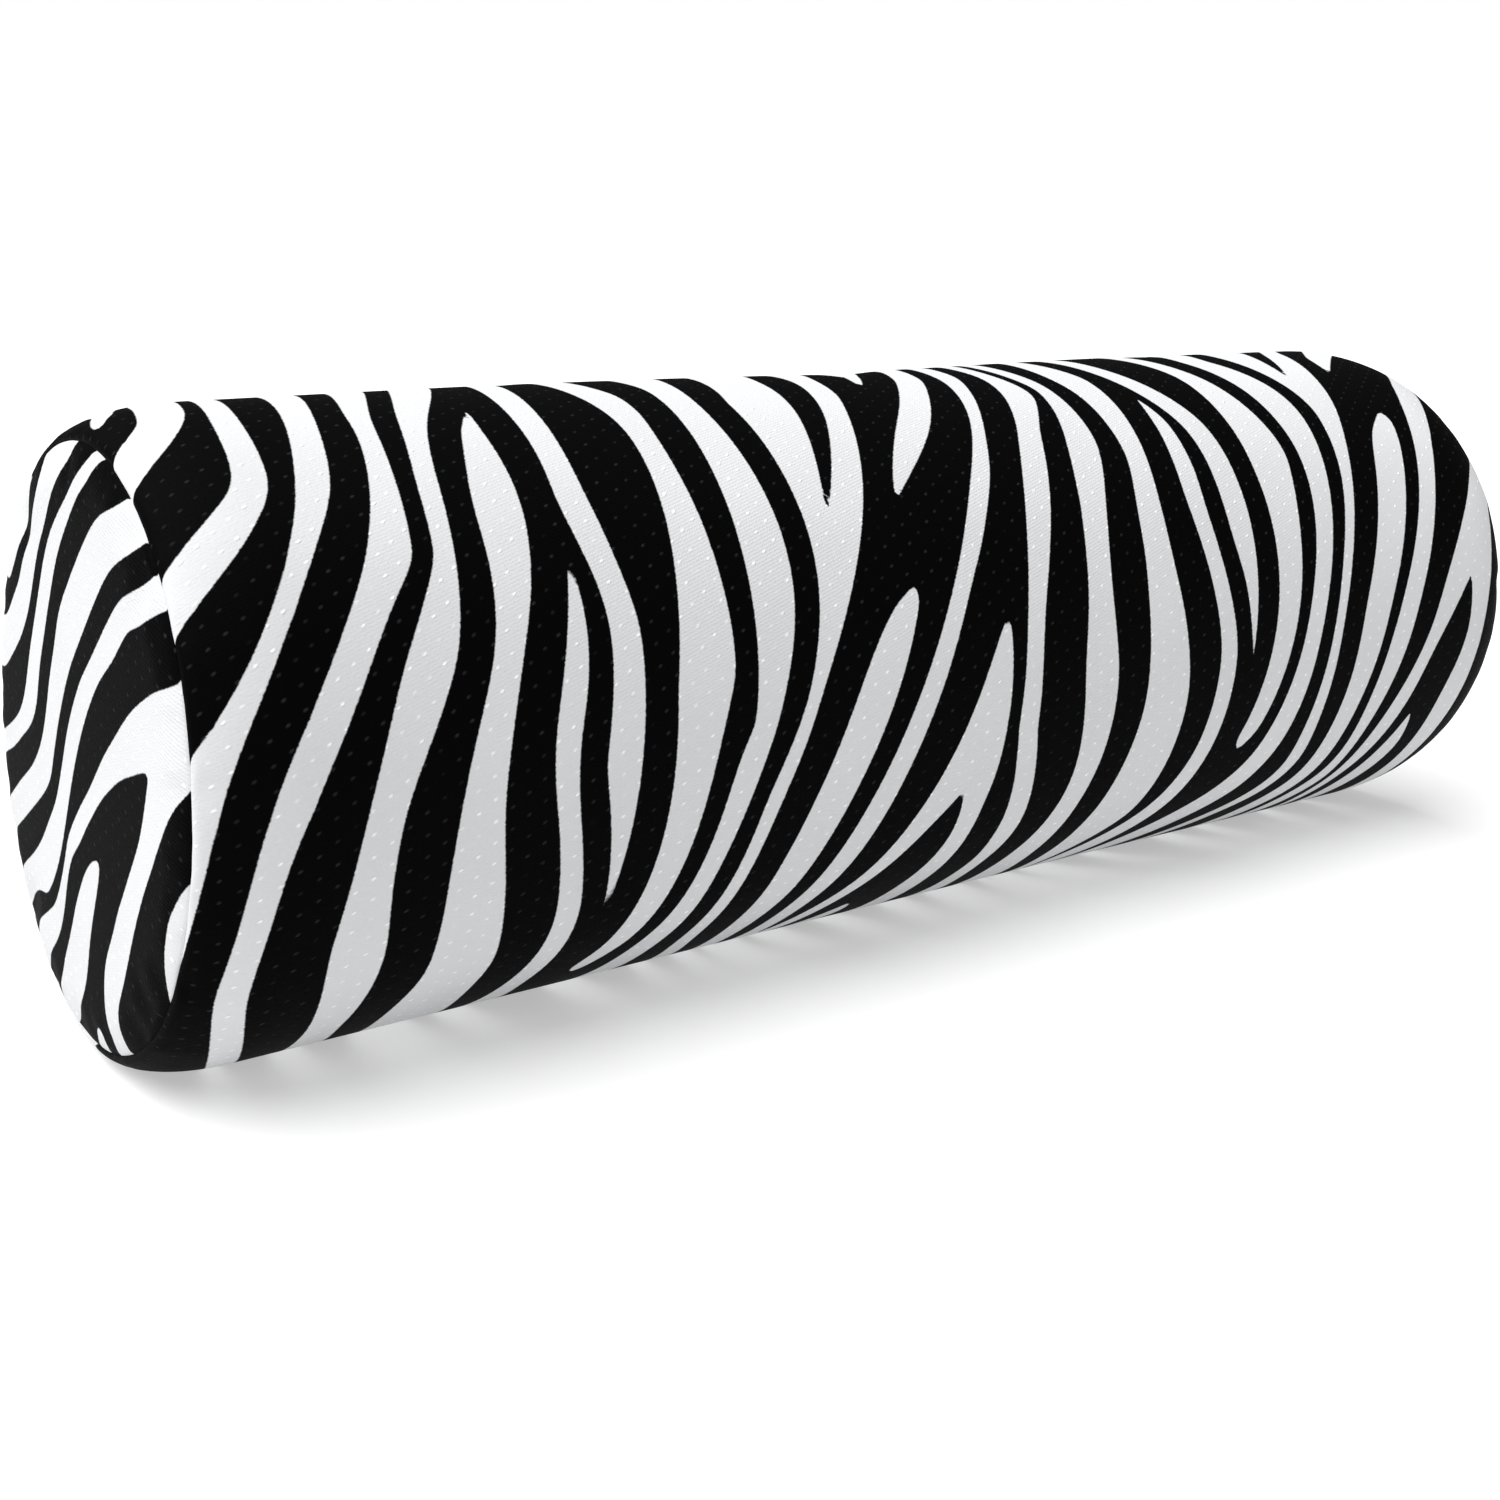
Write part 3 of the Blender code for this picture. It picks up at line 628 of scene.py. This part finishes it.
def add_dot(place, direction):
    product = add_node("VectorMath", operation="DOT_PRODUCT", inputs={0: place, 1: direction})
    return product.outputs["Value"]


def add_range(source, low, high):
    return add_node("MapRange", inputs={"Value": source, "To Min": low, "To Max": high}).outputs[0]


def finish_surface(colour, roughness, relief):
    """Links the colour, a spread of roughness and a bump of this strength and depth."""
    links.new(colour, shader.inputs["Base Color"])
    links.new(add_range(*roughness), shader.inputs["Roughness"])
    height, strength, depth = relief
    bump = add_node("Bump", inputs={"Strength": strength, "Distance": depth, "Height": height})
    links.new(bump.outputs[0], shader.inputs["Normal"])


knit = start_material("printed_knit_cloth")
uv = add_node("UVMap", uv_map="cloth_mm").outputs["UV"]
(a_along, a_around), (b_along, b_around) = TUCK_STEPS
area = a_along * b_around - b_along * a_around
count_a = add_dot(uv, (b_around / area, -b_along / area, 0))
count_b = add_dot(uv, (-a_around / area, a_along / area, 0))
cell_a = add_math("SUBTRACT", add_math("FRACT", count_a), 0.5)
cell_b = add_math("SUBTRACT", add_math("FRACT", count_b), 0.5)
off = add_node("CombineXYZ", inputs={
    number: add_math("ADD", add_math("MULTIPLY", cell_a, a), add_math("MULTIPLY", cell_b, b))
    for number, (a, b) in enumerate(((a_along, b_along), (a_around, b_around)))
}).outputs[0]
lean_x, lean_y = math.cos(TUCK_SLANT), math.sin(TUCK_SLANT)
tuck_place = add_node("CombineXYZ", inputs={
    0: add_dot(off, (lean_x / TUCK_SIZE[0], lean_y / TUCK_SIZE[0], 0)),
    1: add_dot(off, (-lean_y / TUCK_SIZE[1], lean_x / TUCK_SIZE[1], 0)),
}).outputs[0]
tuck_far = add_node("VectorMath", operation="LENGTH", inputs={0: tuck_place}).outputs["Value"]
tuck = add_node("MapRange", interpolation_type="SMOOTHSTEP", inputs={
    "Value": tuck_far, "From Min": 0.25, "From Max": 1.0, "To Min": 1.0, "To Max": 0.0}).outputs[0]
uneven = add_node("TexNoise", inputs={"Vector": uv, "Scale": 0.16, "Detail": 2.0}).outputs[0]
fuzz = add_node("TexNoise", inputs={
    "Vector": uv, "Scale": 1.2, "Detail": 3.0, "Roughness": 0.6}).outputs[0]
broad_patches = add_node("TexNoise", inputs={"Vector": uv, "Scale": 0.03, "Detail": 1.0}).outputs[0]
slant_x, slant_y = math.cos(RIB_SLANT), math.sin(RIB_SLANT)
rib_turn = 2 * math.pi / RIB_PITCH
rib = add_math("SINE", add_dot(uv, (slant_y * rib_turn, slant_x * rib_turn, 0)))
loop_turn = 2 * math.pi / LOOP_PITCH
loop = add_math("SINE", add_dot(uv, (slant_x * loop_turn, -slant_y * loop_turn, 0)))
stitch = add_math("MULTIPLY", rib, add_math("MULTIPLY_ADD", loop, 0.35, 0.65))
from_middle = add_math("ABSOLUTE", add_dot(uv, (1, 0, 0)))
clear = add_node("MapRange", inputs={  # the ribs show less towards the roll's ends
    "Value": from_middle, "From Min": 60.0, "From Max": 190.0,
    "To Min": 1.0, "To Max": 0.3}).outputs[0]
stitch = add_math("MULTIPLY", stitch, clear)
uneven = add_node("MapRange", inputs={
    "Value": uneven, "From Min": 0.36, "From Max": 0.60, "To Min": 0.15, "To Max": 1.0}).outputs[0]
# Where the tucks stand up, for the bump and for the painted highlight in the colour.
tuck_bump_and_highlight = add_math("MULTIPLY", tuck, uneven)
height = add_math("MULTIPLY_ADD", tuck_bump_and_highlight, 0.16, add_math("MULTIPLY_ADD", stitch, 0.028, add_math(
    "MULTIPLY", fuzz, 0.10)))

deep = add_node("Attribute", attribute_name="white_depth").outputs["Fac"]
ragged = add_math("MULTIPLY_ADD", fuzz, 0.5, add_math("SUBTRACT", deep, 0.25))
inked = add_node("MapRange", interpolation_type="SMOOTHSTEP", inputs={
    "Value": ragged, "From Min": -0.20, "From Max": 0.20}).outputs[0]
# Painted shade: the ribs' lit and shaded sides, with broad lighter and darker patches and a fine
# mottle, multiplied into the white.
shade = add_math("MULTIPLY_ADD", stitch, 0.034, add_math("MULTIPLY_ADD", broad_patches, 0.10, 0.93))
shade = add_math("MULTIPLY_ADD", fuzz, 0.08, add_math("SUBTRACT", shade, 0.03))
# Painted highlight: the tucks are coloured lighter than the white ground.
white = add_node("Mix", data_type="RGBA", inputs={0: tuck_bump_and_highlight, 6: WHITE, 7: TUCK_HIGHLIGHT_ON_WHITE}).outputs[2]
white = add_node("Mix", data_type="RGBA", blend_type="MULTIPLY", inputs={
    0: 1.0, 6: white, 7: shade}).outputs[2]
# Painted highlight: the tucks are coloured lighter than the black ground.
black = add_node("Mix", data_type="RGBA", inputs={0: tuck_bump_and_highlight, 6: BLACK, 7: TUCK_HIGHLIGHT_ON_BLACK}).outputs[2]
colour = add_node("Mix", data_type="RGBA", inputs={0: inked, 6: black, 7: white}).outputs[2]
finish_surface(colour, (fuzz, 0.50, 0.72), (height, 1.0, MM))
shader.inputs["Specular IOR Level"].default_value = 0.012
cover_wall.data.materials.append(knit)
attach(cover_wall, "pillow")
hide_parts("cover_body")


# The two round end panels, cut from the same knit and sewn to the wall from inside, so each
# seam is a fine crease with no piping. The left one leans as the roll lies.
PANEL_STEPS = 46
END_SWELL = 1.5
PANEL_RIPPLE = ((19, 0.10), (37, 0.12), (61, 0.08))
PANEL_RIPPLE_FADE = 8.0
PANEL_STROKES = (  # closed outlines of (towards the front, up)
    (
        (-6.5, 73.4), (-13.7, 76.4), (-22.8, 73.9), (-28.5, 71.8), (-33.1, 69), (-35.3, 66.7),
        (-38.8, 62.7), (-35, 50), (-39, 43.5), (-43, 38), (-48, 32.5), (-52, 30), (-63.8, 32.3),
        (-67.3, 32.1), (-69.5, 33.6), (-73, 18.2), (-68.4, 20.5), (-55, 20.5), (-50, 24),
        (-46, 27.5), (-41, 31.5), (-38, 36.5), (-34, 42), (-30, 48), (-28, 52), (-26, 56),
        (-25.1, 69.5), (-19.4, 72.7), (-10.8, 71.6), (-5.4, 73.4),
    ),
    (
        (6.5, 73.4), (0, 71.3), (-5, 63), (-9, 60), (-13, 56.5), (-17, 51), (-20, 46.5),
        (-24, 42), (-27, 36.5), (-30, 30.5), (-33, 25.5), (-38, 20), (-44, 15.5), (-52, 10.5),
        (-58, 7.5), (-74.1, 6), (-71.8, -10.6), (-57, -7), (-50, -4), (-43, -0.5), (-38, 4),
        (-34.5, 10), (-32, 16), (-29, 21.5), (-25, 29), (-22, 35), (-18, 42.5), (-12, 49),
        (-5, 54), (0, 58), (5, 62), (13, 69.7), (20.5, 71.3),
    ),
    (
        (25.9, 69.1), (18.4, 68), (10, 60.5), (6, 57.5), (0, 52), (-5, 47), (-10, 41), (-13, 35),
        (-17, 27.5), (-20, 21), (-23, 15.5), (-25, 9), (-27, 4), (-32, -1), (-38, -4),
        (-46, -8.5), (-55, -12.5), (-69.5, -17.1), (-66.1, -28.8), (-52, -22), (-46, -18.5),
        (-40, -15), (-33, -11.5), (-27, -7), (-23, -3), (-20, 1.5), (-17, 8), (-15, 14),
        (-11, 21.5), (-9, 27), (-6, 32), (-1, 37), (4, 42), (10, 47.5), (15, 51.5), (20, 54.5),
        (28, 57), (37.8, 63.2),
    ),
    (
        (49.1, 54.9), (38, 49), (30, 45.8), (24, 42), (18, 36.5), (12, 30.5), (7, 25.5),
        (1.5, 20), (-2, 15.5), (-5.5, 10), (-8.5, 5), (-11, 0), (-13.5, -5), (-15.5, -9.5),
        (-20, -13.5), (-27, -17.8), (-35, -22.3), (-43, -26.8), (-50, -30.5), (-61.6, -38.2),
        (-57, -47.1), (-44, -38), (-37, -34.5), (-29.5, -30), (-23.5, -25.5), (-18, -20),
        (-12.5, -15), (-9.2, -10), (-6.5, -5), (-4, 0), (-1.5, 5), (2, 10), (5, 14), (9.5, 19),
        (14, 22.5), (20, 28), (28, 35), (34, 39.5), (42, 42.5), (54.5, 49.1),
    ),
    (
        (60.5, 42.7), (50, 38), (43, 35), (38, 33.5), (33, 29), (27, 24), (20.5, 20), (11.2, 10),
        (4.5, 0), (-1, -10), (-6, -20), (-12.2, -30), (-20.5, -38), (-24, -39.5), (-29, -40),
        (-35, -42.5), (-40, -45), (-51.3, -55.3), (-44.5, -60.4), (-34, -50), (-27, -46),
        (-19.5, -42), (-15, -39), (-11, -34), (-8, -29.5), (-5.5, -25), (-3.5, -21), (-1, -18),
        (2, -15), (7.5, -10), (12, -6.5), (19, 0), (24, 5), (30, 9.5), (36, 14.5), (42, 18.5),
        (47, 21), (55, 25), (67, 29.2),
    ),
    (
        (50, 7.5), (41.5, 4.5), (34, 2), (28, -1.5), (22, -5), (16, -10), (10, -15), (5, -20),
        (0, -23.5), (-4, -29), (-7, -36), (-9.5, -41), (-13, -46), (-18, -50.5), (-24, -55),
        (-33.1, -67.8), (-22.8, -76.4), (0, -75.6), (23.2, -72.4), (23.2, -68), (20.5, -61),
        (19.5, -57), (19, -52), (19.5, -47), (21, -42), (24.5, -37), (28, -32), (31, -27),
        (35, -22), (40, -15), (44.5, -9), (47.5, -2), (49.5, 4),
    ),
    (
        (73.5, 10.8), (64.5, 5), (60.5, 0), (56, -6), (52.5, -11), (48, -17), (44, -23),
        (40, -29.5), (36, -37), (32, -44), (29, -48.5), (27.8, -52), (28.3, -57), (32.4, -64.8),
        (37.8, -69.1), (46.4, -62.6), (52.9, -57.2), (56.7, -52.4), (54, -49.7), (55.1, -46.4),
        (54.4, -37), (56.1, -30), (58.1, -23), (61, -18), (64.5, -13.5), (68.5, -10.5),
        (73.5, -8.5),
    ),
)
PANEL_TONGUES = (  # white tongues inside the strokes
    (
        (19.5, -20), (18, -25), (15, -31), (12, -37), (9.5, -43), (7.5, -49), (4, -55),
        (0, -59.5), (-6, -66), (-12, -69), (-18, -62.5), (-15, -59), (-12, -55), (-9.5, -50.5),
        (-6, -46), (-2, -40), (1, -35), (4, -31), (8, -26), (12, -22.5), (16, -20.3),
    ),
    (
        (13, -59), (8.5, -64.5), (7, -69.5), (15, -69.5), (15, -63.5),
    ),
)

side = np.linspace(-1, 1, PANEL_STEPS + 1)
square_b, square_a = (g.ravel() for g in np.meshgrid(side, side, indexing="ij"))
disc_a = square_a * np.sqrt(1 - square_b**2 / 2) * SEAM_RADIUS
disc_b = square_b * np.sqrt(1 - square_a**2 / 2) * SEAM_RADIUS
rim = SEAM_RADIUS - np.hypot(disc_a, disc_b)
out = END_SWELL * (1 - (1 - rim / SEAM_RADIUS) ** 2)
out = out - SEAM_DIP * np.exp(-((rim / SEAM_DIP_REACH) ** 2))
turned = np.arctan2(disc_a, disc_b) / (2 * np.pi) * TURN
ripple = pucker(turned, PANEL_RIPPLE) * np.exp(-rim / PANEL_RIPPLE_FADE)
out = out + ripple * np.minimum(rim / RIPPLE_START, 1)
across = PANEL_STEPS + 1
panel_whites = [np.array([(-80.0, -80.0), (80.0, -80.0), (80.0, 80.0), (-80.0, 80.0)])]
strokes = [smooth_loop(stroke) for stroke in PANEL_STROKES]
tongues = [smooth_loop(tongue) for tongue in PANEL_TONGUES]
for name, hand, turn, node in (
    ("cover_panel_left", -1, 0.0, "cover_end_left"),
    ("cover_panel_right", 1, math.radians(140), "cover_end_right"),
):
    x = hand * (HALF_LENGTH / MM + out)
    if hand < 0:
        x = x + END_LEAN * disc_b
    places = np.column_stack([x, -disc_a, disc_b + AXIS_HEIGHT / MM]) * MM
    quads = []
    for r in range(PANEL_STEPS):
        for c in range(PANEL_STEPS):
            corner = r * across + c
            quad = (corner, corner + 1, corner + across + 1, corner + across)
            quads.append(quad[::-1] if hand > 0 else quad)
    panel = cloth_piece(name, places, np.column_stack([disc_a, disc_b]), quads)
    blow_out(panel, (rim < 0.1).astype(float), np.ones(len(rim)))
    front, up = sew_up(panel, CLOTH)
    flat = np.column_stack([
        front * math.cos(turn) + up * math.sin(turn),
        up * math.cos(turn) - front * math.sin(turn),
    ])
    lay_print(panel, flat, panel_whites, strokes, tongues)
    panel.data.materials.append(knit)
    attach(panel, "pillow")
    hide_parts(node)


# The zip's two tapes, woven from black nylon. They are sewn under the edges of the opening in
# the cover's wall, and leave a gap between them for the slider's neck.
TAPE_WIDTH = 14.3
TAPE_LENGTH = 340.0
TAPE_THICKNESS = 0.6
TAPE_TOP = 73.5
SELVEDGE = 0.2
NECK_GAP = 1.25
ZIP_TILT = Matrix.Rotation(ZIP_RISE - math.pi / 2, 4, "X")
ZIP_FRAME = Matrix.Translation((0, 0, AXIS_HEIGHT)) @ ZIP_TILT
ZIP_SIDES = (("upper", -1), ("lower", 1))


def grey(tone):
    return add_node("CombineColor", inputs={0: tone, 1: tone, 2: tone}).outputs[0]


zip_nylon = start_material("zip_nylon_weave")
place = add_node("TexCoord").outputs["Object"]
weft = add_node("TexWave", bands_direction="X", inputs={
    "Vector": place, "Scale": 420.0, "Distortion": 0.4, "Detail": 1.0}).outputs["Fac"]
warp = add_node("TexWave", bands_direction="DIAGONAL", inputs={
    "Vector": place, "Scale": 330.0}).outputs["Fac"]
weave = add_math("MULTIPLY", weft, warp)
lint = add_node("TexNoise", inputs={"Vector": place, "Scale": 900.0, "Detail": 2.0}).outputs[0]
# Lighter where the weave stands up, darker in its hollows.
weave_lightness = add_math("MULTIPLY_ADD", weave, 0.7, 0.6)
tone = add_math("MULTIPLY", add_range(lint, 0.006, 0.020), weave_lightness)
finish_surface(grey(tone), (lint, 0.55, 0.8), (weave, 0.8, 0.2 * MM))
shader.inputs["Specular IOR Level"].default_value = 0.3


def finish_zip_piece(piece, name, body, node, material):
    """Turns a piece made flat on the XY plane to the zip's place on the roll."""
    piece.data.transform(ZIP_FRAME @ piece.matrix_world)
    piece.matrix_world = Matrix.Identity(4)
    piece.name = piece.data.name = name
    piece.data.materials.clear()
    piece.data.materials.append(material)
    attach(piece, body)
    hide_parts(node)
    piece.select_set(False)


def wrap_round_roll(piece):
    """Bends a flat piece, drawn at its height above the roll's axis, round that axis."""
    for vertex in piece.data.vertices:
        turn = vertex.co.y / vertex.co.z
        vertex.co.y, vertex.co.z = vertex.co.z * math.sin(turn), vertex.co.z * math.cos(turn)


for name, side in ZIP_SIDES:
    bpy.ops.mesh.primitive_grid_add(x_subdivisions=170, y_subdivisions=10, size=1)
    tape = bpy.context.object
    tape.scale = (TAPE_LENGTH * MM, TAPE_WIDTH * MM, 1)
    tape.location = (0, side * (NECK_GAP + TAPE_WIDTH) / 2 * MM, TAPE_TOP * MM)
    bpy.ops.object.transform_apply()
    wrap_round_roll(tape)
    wall = tape.modifiers.new("Weave", "SOLIDIFY")
    wall.thickness = TAPE_THICKNESS * MM
    wall.offset = -1
    bpy.ops.object.modifier_apply(modifier=wall.name)
    edges = tape.modifiers.new("Selvedge", "BEVEL")
    edges.width = SELVEDGE * MM
    edges.segments = 2
    bpy.ops.object.modifier_apply(modifier=edges.name)
    bpy.ops.object.shade_smooth_by_angle(angle=math.radians(40))
    node = "zipper_tape_" + name
    finish_zip_piece(tape, "zip_tape_" + name, "pillow", node, zip_nylon)


# The zip's teeth, a coil of black nylon monofilament sewn along the edge of each tape. One turn
# is made and repeated.
COIL_LENGTH = 308.0
COIL_PITCH = 1.25
COIL_REACH = (0.60, 3.5)  # from the zip line
COIL_HEIGHT = (73.8, 75.7)
WIRE = 0.40
COIL_LEAN = math.radians(11)
coil_nylon = start_material("zip_coil_nylon")
place = add_node("TexCoord").outputs["Object"]
grain = add_node("TexNoise", inputs={"Vector": place, "Scale": 1400.0, "Detail": 3.0}).outputs[0]
finish_surface(grey(add_range(grain, 0.008, 0.018)), (grain, 0.25, 0.45), (grain, 0.3, 0.1 * MM))


def repeat_along(piece, pitch, count):
    """Repeats a piece along the zip, this many times in all."""
    row = piece.modifiers.new("Repeat", "ARRAY")
    row.use_relative_offset = False
    row.use_constant_offset = True
    row.constant_offset_displace = (pitch * MM, 0, 0)
    row.count = count
    bpy.ops.object.modifier_apply(modifier=row.name)


for name, side in ZIP_SIDES:
    turns = round((COIL_LENGTH - 2 * WIRE) / COIL_PITCH)
    bpy.ops.curve.primitive_bezier_circle_add(radius=1)
    coil = bpy.context.object
    coil.data.resolution_u = 3
    bpy.ops.object.mode_set(mode="EDIT")
    bpy.ops.curve.select_all(action="SELECT")
    half_reach = (COIL_REACH[1] - COIL_REACH[0]) / 2 - WIRE
    half_height = (COIL_HEIGHT[1] - COIL_HEIGHT[0]) / 2 - WIRE
    bpy.ops.transform.resize(value=(half_height * MM, half_reach * MM, 1))
    bpy.ops.object.mode_set(mode="OBJECT")
    coil.data.bevel_depth = WIRE * MM
    coil.data.bevel_resolution = 1
    coil.rotation_euler = (0, math.pi / 2, side * COIL_LEAN)
    bpy.ops.object.convert(target="MESH")
    coil = bpy.context.object
    coil.location = (
        -(turns - 1) * COIL_PITCH / 2 * MM,
        side * sum(COIL_REACH) / 2 * MM,
        sum(COIL_HEIGHT) / 2 * MM,
    )
    bpy.ops.object.transform_apply()
    repeat_along(coil, COIL_PITCH, turns)
    bpy.ops.object.shade_smooth()
    node = "zipper_coil_" + name
    finish_zip_piece(coil, "zip_coil_" + name, "pillow", node, coil_nylon)


# The die-cast slider, its pull and the stops, with a grey plating that shows wear. The castings'
# edges are eased as they come from the mould.


def two_tone(source, first, second, between=(0.0, 1.0)):
    """A colour that runs from the first to the second as its source rises."""
    ramp = add_node("ValToRGB", inputs={0: source})
    for stop, colour, position in zip(ramp.color_ramp.elements, (first, second), between):
        stop.position = position
        stop.color = (*colour, 1)
    return ramp.outputs[0]


zip_plating = start_material("zip_plating")
place = add_node("TexCoord").outputs["Object"]
cloudy = add_node("TexNoise", inputs={"Vector": place, "Scale": 260.0, "Detail": 4.0}).outputs[0]
scuffs = add_node("TexNoise", inputs={
    "Vector": place, "Scale": 1600.0, "Detail": 5.0, "Roughness": 0.7}).outputs[0]
plating = two_tone(cloudy, (0.32, 0.32, 0.33), (0.46, 0.46, 0.46), (0.35, 0.7))
finish_surface(plating, (scuffs, 0.20, 0.48), (scuffs, 0.25, 0.1 * MM))
shader.inputs["Metallic"].default_value = 1.0
for name, node, body, ease in (
    ("zip_slider", "zipper_slider", "slider", 0.14),
    ("zip_pull", "zipper_pull", "pull", 0.16),
):
    casting = bpy.data.objects.new(name, bpy.data.objects[node].data.copy())
    casting.data.name = name
    scene.collection.objects.link(casting)
    bpy.context.view_layer.objects.active = casting
    casting.select_set(True)
    bpy.ops.object.mode_set(mode="EDIT")
    bpy.ops.mesh.select_all(action="SELECT")
    bpy.ops.mesh.remove_doubles(threshold=0.000002)
    bpy.ops.object.mode_set(mode="OBJECT")
    edges = casting.modifiers.new("Eased edges", "BEVEL")
    edges.width = ease * MM
    edges.segments = 2
    edges.angle_limit = math.radians(30)
    edges.use_clamp_overlap = True
    bpy.ops.object.modifier_apply(modifier=edges.name)
    bpy.ops.object.shade_smooth_by_angle(angle=math.radians(35))
    casting.select_set(False)
    casting.data.materials.clear()
    casting.data.materials.append(zip_plating)
    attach(casting, body)
    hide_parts(node)
for node in ("zipper_top_stop_upper", "zipper_top_stop_lower", "zipper_bottom_stop"):
    bpy.data.objects[node].material_slots[0].material = zip_plating


# A row of lockstitch in black thread on each side of the zip. It goes through the cover's turned
# edge and the tape, and so holds the zip in the cover.
OPENING_LENGTH = 2 * OPENING[0]
STITCH_PITCH = 3.2
STITCH_LINE = OPENING[1] + 2.0
THREAD = (1.35, 0.27, 0.24)
THREAD_RISE = 0.10
thread_black = start_material("black_thread")
place = add_node("TexCoord").outputs["Object"]
twist = add_node("TexWave", bands_direction="DIAGONAL", inputs={
    "Vector": place, "Scale": 1250.0, "Distortion": 0.4}).outputs["Fac"]
finish_surface(grey(add_range(twist, 0.003, 0.010)), (twist, 0.45, 0.65), (twist, 0.6, 0.1 * MM))
shader.inputs["Specular IOR Level"].default_value = 0.2
for name, side in ZIP_SIDES:
    count = round(OPENING_LENGTH / STITCH_PITCH)
    bpy.ops.mesh.primitive_uv_sphere_add(
        segments=6, ring_count=7, radius=1, rotation=(0, math.pi / 2, 0))
    row = bpy.context.object
    bpy.ops.object.transform_apply()
    for vertex in row.data.vertices:
        vertex.co.x = math.sin(math.pi / 2 * vertex.co.x)
    row.scale = [size * MM for size in THREAD]
    height = math.sqrt((ROLL_RADIUS / MM) ** 2 - STITCH_LINE**2) + THREAD_RISE
    row.location = (-(count - 1) * STITCH_PITCH / 2 * MM, side * STITCH_LINE * MM, height * MM)
    bpy.ops.object.transform_apply()
    repeat_along(row, STITCH_PITCH, count)
    bpy.ops.object.shade_smooth()
    node = "topstitch_" + name
    finish_zip_piece(row, "stitch_row_" + name, "pillow", node, thread_black)


# A bar tack across each end of the opening: close turns of the same thread, side by side, sewn
# through the cover and both tapes.
TACK_THREADS = 6
TACK_PITCH = 0.38
TACK_MIDDLE = OPENING[0] + 2.2
TACK_THREAD = (0.23, OPENING[1], 0.30)
TACK_RISE = 0.25
for name, side in (("left", -1), ("right", 1)):
    bpy.ops.mesh.primitive_uv_sphere_add(
        segments=6, ring_count=14, radius=1, rotation=(math.pi / 2, 0, 0))
    tack = bpy.context.object
    bpy.ops.object.transform_apply()
    for vertex in tack.data.vertices:
        vertex.co.y = math.sin(math.pi / 2 * vertex.co.y)
    tack.scale = [size * MM for size in TACK_THREAD]
    first_thread = side * TACK_MIDDLE - (TACK_THREADS - 1) * TACK_PITCH / 2
    tack.location = (first_thread * MM, 0, ROLL_RADIUS + TACK_RISE * MM)
    bpy.ops.object.transform_apply()
    repeat_along(tack, TACK_PITCH, TACK_THREADS)
    wrap_round_roll(tack)
    bpy.ops.object.shade_smooth()
    finish_zip_piece(tack, "tack_" + name, "pillow", "bar_tack_" + name, thread_black)


# Inside, unseen: the overlocked allowance of each end seam, the liner of plain woven cotton that
# the foam is sewn into, and the foam roll itself.
THREAD_NODES = ("end_seam_left", "end_seam_right")
LINER_NODES = ("liner_body", "liner_end_left", "liner_end_right")
for node in THREAD_NODES:
    bpy.data.objects[node].material_slots[0].material = thread_black
liner_cotton = start_material("liner_cotton")
place = add_node("TexCoord").outputs["Object"]
warp, weft = (
    add_node("TexWave", bands_direction=way, inputs={"Vector": place, "Scale": 300.0}).outputs["Fac"]
    for way in ("X", "Z")
)
slub = add_node("TexNoise", inputs={"Vector": place, "Scale": 120.0, "Detail": 4.0}).outputs[0]
weave = add_math("MULTIPLY_ADD", slub, 0.5, add_math("MULTIPLY", warp, weft))
cotton = two_tone(weave, (0.70, 0.69, 0.66), (0.84, 0.83, 0.80))
finish_surface(cotton, (slub, 0.8, 0.95), (weave, 0.5, 0.2 * MM))
for node in LINER_NODES:
    bpy.data.objects[node].material_slots[0].material = liner_cotton
open_foam = start_material("open_cell_foam")
place = add_node("TexCoord").outputs["Object"]
cells = add_node("TexVoronoi", inputs={"Vector": place, "Scale": 900.0}).outputs["Distance"]
cloudy = add_node("TexNoise", inputs={"Vector": place, "Scale": 25.0, "Detail": 3.0}).outputs[0]
foam = two_tone(cloudy, (0.78, 0.72, 0.52), (0.90, 0.86, 0.70))
finish_surface(foam, (cells, 0.85, 1.0), (cells, 0.9, 0.5 * MM))
bpy.data.objects["foam_core"].material_slots[0].material = open_foam
